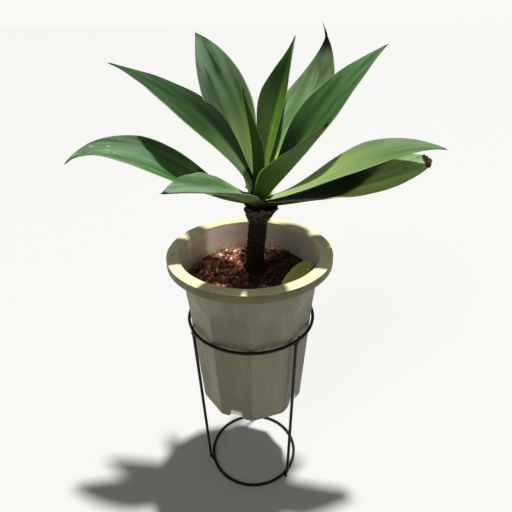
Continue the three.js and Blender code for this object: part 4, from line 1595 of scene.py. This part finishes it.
@dataclass
class ScorchedEnd:
    """The shards along the cut leaf's end: dead skin curled up by the burn, black with pale torn edges."""

    finish: DryFibre
    leaf: Leaf
    shape: bpy.types.Object
    count: int = 9
    spread: float = 0.8
    inset: float = 2.5
    seed: int = 5

    def build(self, trunk: Trunk) -> None:
        """Makes and dresses the shards.

        Args:
            trunk: what the leaf grows from.
        """
        draw = np.random.default_rng(self.seed)
        share = np.array([self.leaf.keep])
        points, ahead, side, above = (rows[0] for rows in self.leaf.midrib(trunk, share))
        half = float(self.leaf.half_width(share)[0])
        fold = math.radians(self.leaf.cup * (1 - self.leaf.flattening * self.leaf.keep))
        marks = []
        for k in range(self.count):
            u = self.spread * (2 * k / (self.count - 1) - 1)
            lift = half * math.sin(fold) * abs(u) ** self.leaf.crease
            spot = points - self.inset * ahead + half * math.cos(fold) * u * side + lift * above
            flip = 1 if k % 2 else -1
            axes = Matrix([flip * above, flip * np.cross(ahead, above), ahead]).transposed()
            tilt = Matrix.Rotation(draw.uniform(-0.5, 0.5), 3, "Y")
            tilt = tilt @ Matrix.Rotation(draw.uniform(-0.4, 0.4), 3, "X")
            scale = draw.uniform(0.28, 0.48)
            size = (scale * 1.6, scale, scale * draw.uniform(0.8, 1.2))
            marks.append((spot, tuple((axes @ tilt).to_euler()), size))
        shards = set_on_marks("scorched_leaf_end", marks, self.shape, self.finish.build())
        ride(shards, "dead_leaf_bases")


@dataclass
class FallenPiece:
    """A yellowed piece of an old leaf, lying on the soil against the wall."""

    finish: LeafSkin
    start: tuple[float, float, float] = (44.0, -60.0, 410.6)
    end: tuple[float, float, float] = (91.0, 1.0, 428.5)
    width: float = 34.0
    thickness: float = 2.4
    tilt: float = 10.0
    outline: tuple[float, ...] = (0.3, 0.62, 0.85, 0.98, 1.0, 0.93, 0.72, 0.25)
    rows: int = 40
    columns: int = 13
    leaf_shares: tuple[float, float] = (0.3, 0.8)
    skin_length: float = 160.0

    def build(self) -> None:
        """Makes and dresses the piece."""
        start, end = np.array(self.start), np.array(self.end)
        length = float(np.linalg.norm(end - start))
        ahead = (end - start) / length
        level = Vector((ahead[1], -ahead[0], 0)).normalized()
        side = np.array(Matrix.Rotation(-math.radians(self.tilt), 3, Vector(ahead)) @ level)
        above = np.cross(side, ahead)
        loop, face = blade_section(self.columns)
        rounding = np.sqrt(np.clip(1 - loop**2, 0, 1)) ** 0.5
        marks = np.linspace(0, 1, len(self.outline))
        grid = []
        for i in range(self.rows):
            u = i / (self.rows - 1)
            share = 1 - (1 - u) ** 1.3
            half = self.width / 2 * float(np.interp(u, marks, self.outline))
            lift = 1.2 * loop**2 + face * self.thickness / 2 * rounding + 0.8 * wobble(u * 4, 1.5)
            torn = 1.5 * wobble(u * 9, 4.0) if i else 0.0
            out = half * loop + torn * np.sign(loop)
            grid.append(start + ahead * length * share + out[:, None] * side + lift[:, None] * above)
        corners = np.vstack([*grid, grid[0].mean(0), grid[-1].mean(0)])
        along = np.repeat(np.linspace(*self.leaf_shares, self.rows), len(loop))
        lateral = np.tile(loop, self.rows)
        skin = np.stack([lateral * self.width / 2, along * self.skin_length, lateral * 0], 1)
        values = {
            "across": np.append(lateral, [0, 0]),
            "along": np.append(along, self.leaf_shares),
            "upper": np.ones(len(corners)),
            "blade_mm": np.vstack([skin, np.zeros((2, 3))]),
        }
        faces = ring_faces(self.rows, len(loop), closed=True)
        piece = make_piece("yellowed_leaf_piece", corners, faces, values)
        piece.data.materials.append(self.finish.build())
        ride(piece, "dry_leaf", "fallen_leaf_piece")


# ---- studio ----
@dataclass
class Studio:
    """The camera at the photograph's angle, a pale floor and soft lights."""

    sensor: float = 36.0
    lens: float = 440 / 512 * 36
    pitch: float = 28.75
    roll: float = -0.73
    eye: tuple[float, float, float] = (9.3, -588.0, 763.0)
    # Each sun's direction, strength, softness in degrees, and whether it shows in reflections.
    suns: dict[str, tuple[tuple[float, float, float], float, float, bool]] = field(
        default_factory=lambda: {
            "key": ((0.134, 0.159, 0.978), 5.0, 3.0, True),
            "fill": ((-0.4, -0.62, 0.67), 0.4, 30.0, False),
        }
    )
    sky: str = "#f6f5f0"
    horizon: float = 1.03
    overhead: float = 0.14
    floor_colour: str = "#bfbfbd"
    floor_reach: float = 40.0
    floor_roughness: float = 0.9

    def camera(self) -> None:
        """Sets the camera up."""
        data = bpy.data.cameras.new("photo_camera")
        data.lens, data.sensor_width = self.lens, self.sensor
        data.clip_start, data.clip_end = 0.02, 200.0
        camera = bpy.data.objects.new("photo_camera", data)
        bpy.context.scene.collection.objects.link(camera)
        pitch, roll = math.radians(self.pitch), math.radians(self.roll)
        right = Vector((1, 0, 0))
        up = Vector((0, math.sin(pitch), math.cos(pitch)))
        back = Vector((0, -math.cos(pitch), math.sin(pitch)))
        c, s = math.cos(roll), math.sin(roll)
        axes = Matrix([right * c + up * s, up * c - right * s, back]).transposed()
        camera.matrix_world = Matrix.Translation(Vector(self.eye) * MM + pot_axis()) @ axes.to_4x4()
        bpy.context.scene.camera = camera

    def floor(self) -> None:
        """Lays a wide pale floor."""
        mesh = bpy.data.meshes.new("floor")
        reach = self.floor_reach
        corners = [(-reach, -reach, 0), (reach, -reach, 0), (reach, reach, 0), (-reach, reach, 0)]
        mesh.from_pydata(corners, [], [(0, 1, 2, 3)])
        floor = bpy.data.objects.new("floor", mesh)
        bpy.context.scene.collection.objects.link(floor)
        material = bpy.data.materials.new("pale_floor")
        material.use_nodes = True
        shader = material.node_tree.nodes["Principled BSDF"]
        shader.inputs["Base Color"].default_value = linear(self.floor_colour)
        shader.inputs["Roughness"].default_value = self.floor_roughness
        mesh.materials.append(material)

    def lights(self) -> None:
        """A high key from behind the plant, a weak soft fill from the front and an even pale surround."""
        for name, (towards, strength, softness, glossy) in self.suns.items():
            light = bpy.data.lights.new(name, "SUN")
            light.energy, light.angle = strength, math.radians(softness)
            lamp = bpy.data.objects.new(name, light)
            lamp.rotation_euler = Vector(towards).to_track_quat("Z", "Y").to_euler()
            lamp.visible_glossy = glossy
            bpy.context.scene.collection.objects.link(lamp)
        world = bpy.data.worlds.new("studio")
        world.use_nodes = True
        add = partial(add_node, world.node_tree)
        # The surround is white at the horizon, behind the floor's far edge, and dimmer overhead.
        rise = add(SEPARATE, add(PLACE).outputs["Generated"]).outputs["Z"]
        level = add(RANGE, rise, 0.03, 0.22, self.horizon, self.overhead)
        background = world.node_tree.nodes["Background"]
        background.inputs["Color"].default_value = linear(self.sky)
        world.node_tree.links.new(level.outputs["Result"], background.inputs["Strength"])
        bpy.context.scene.world = world
        bpy.context.scene.view_settings.view_transform = "Standard"

    def build(self) -> None:
        """Sets up camera, floor and lights."""
        self.camera()
        self.floor()
        self.lights()


def main() -> None:
    """Builds every sub-assembly around the frame."""
    logging.basicConfig(level=logging.INFO, format="%(name)s %(message)s")
    Studio().build()
    pot = Pot(MouldedPlastic("polypropylene_cream_moulded", roughness=0.5, ior=1.49))
    pot.build()
    Stand(Enamel("enamelled_steel_wire", roughness=0.5), pot).build()
    Soil(Grit("potting_grit_reddish", roughness=0.95), pot).build()
    bark = DryFibre("agave_bark_ringed", roughness=0.9, grey="#291d13", frayed="#4a3a29")
    tones = dict(dark="#0f0c08", brown="#221a12", grey="#463c30")
    husk = DryFibre("dead_leaf_base_frayed", roughness=0.92, fibre_mm=(1.5, 1.5, 7.0), **tones)
    trunk = Trunk(bark, husk)
    trunk.build()
    for leaf in LEAVES:
        leaf.build(trunk)
    tones = dict(dark="#060403", brown="#120b07", grey="#2a1e15", frayed="#94805f")
    scorch = DryFibre("agave_leaf_scorched", roughness=0.9, **tones)
    ScorchedEnd(scorch, LEAVES[-1], trunk.husk_shape()).build(trunk)
    tones = dict(deep="#a8a348", bloom="#c4bb78", heart="#dcd85c", beneath="#b0ab5c")
    tones |= dict(root="#a8a348", margin="#9b9270", tinge="#8a8060")
    FallenPiece(LeafSkin("agave_leaf_yellowed", roughness=0.6, ior=1.45, tip_start=2.0, **tones)).build()


if __name__ == "__main__":
    main()
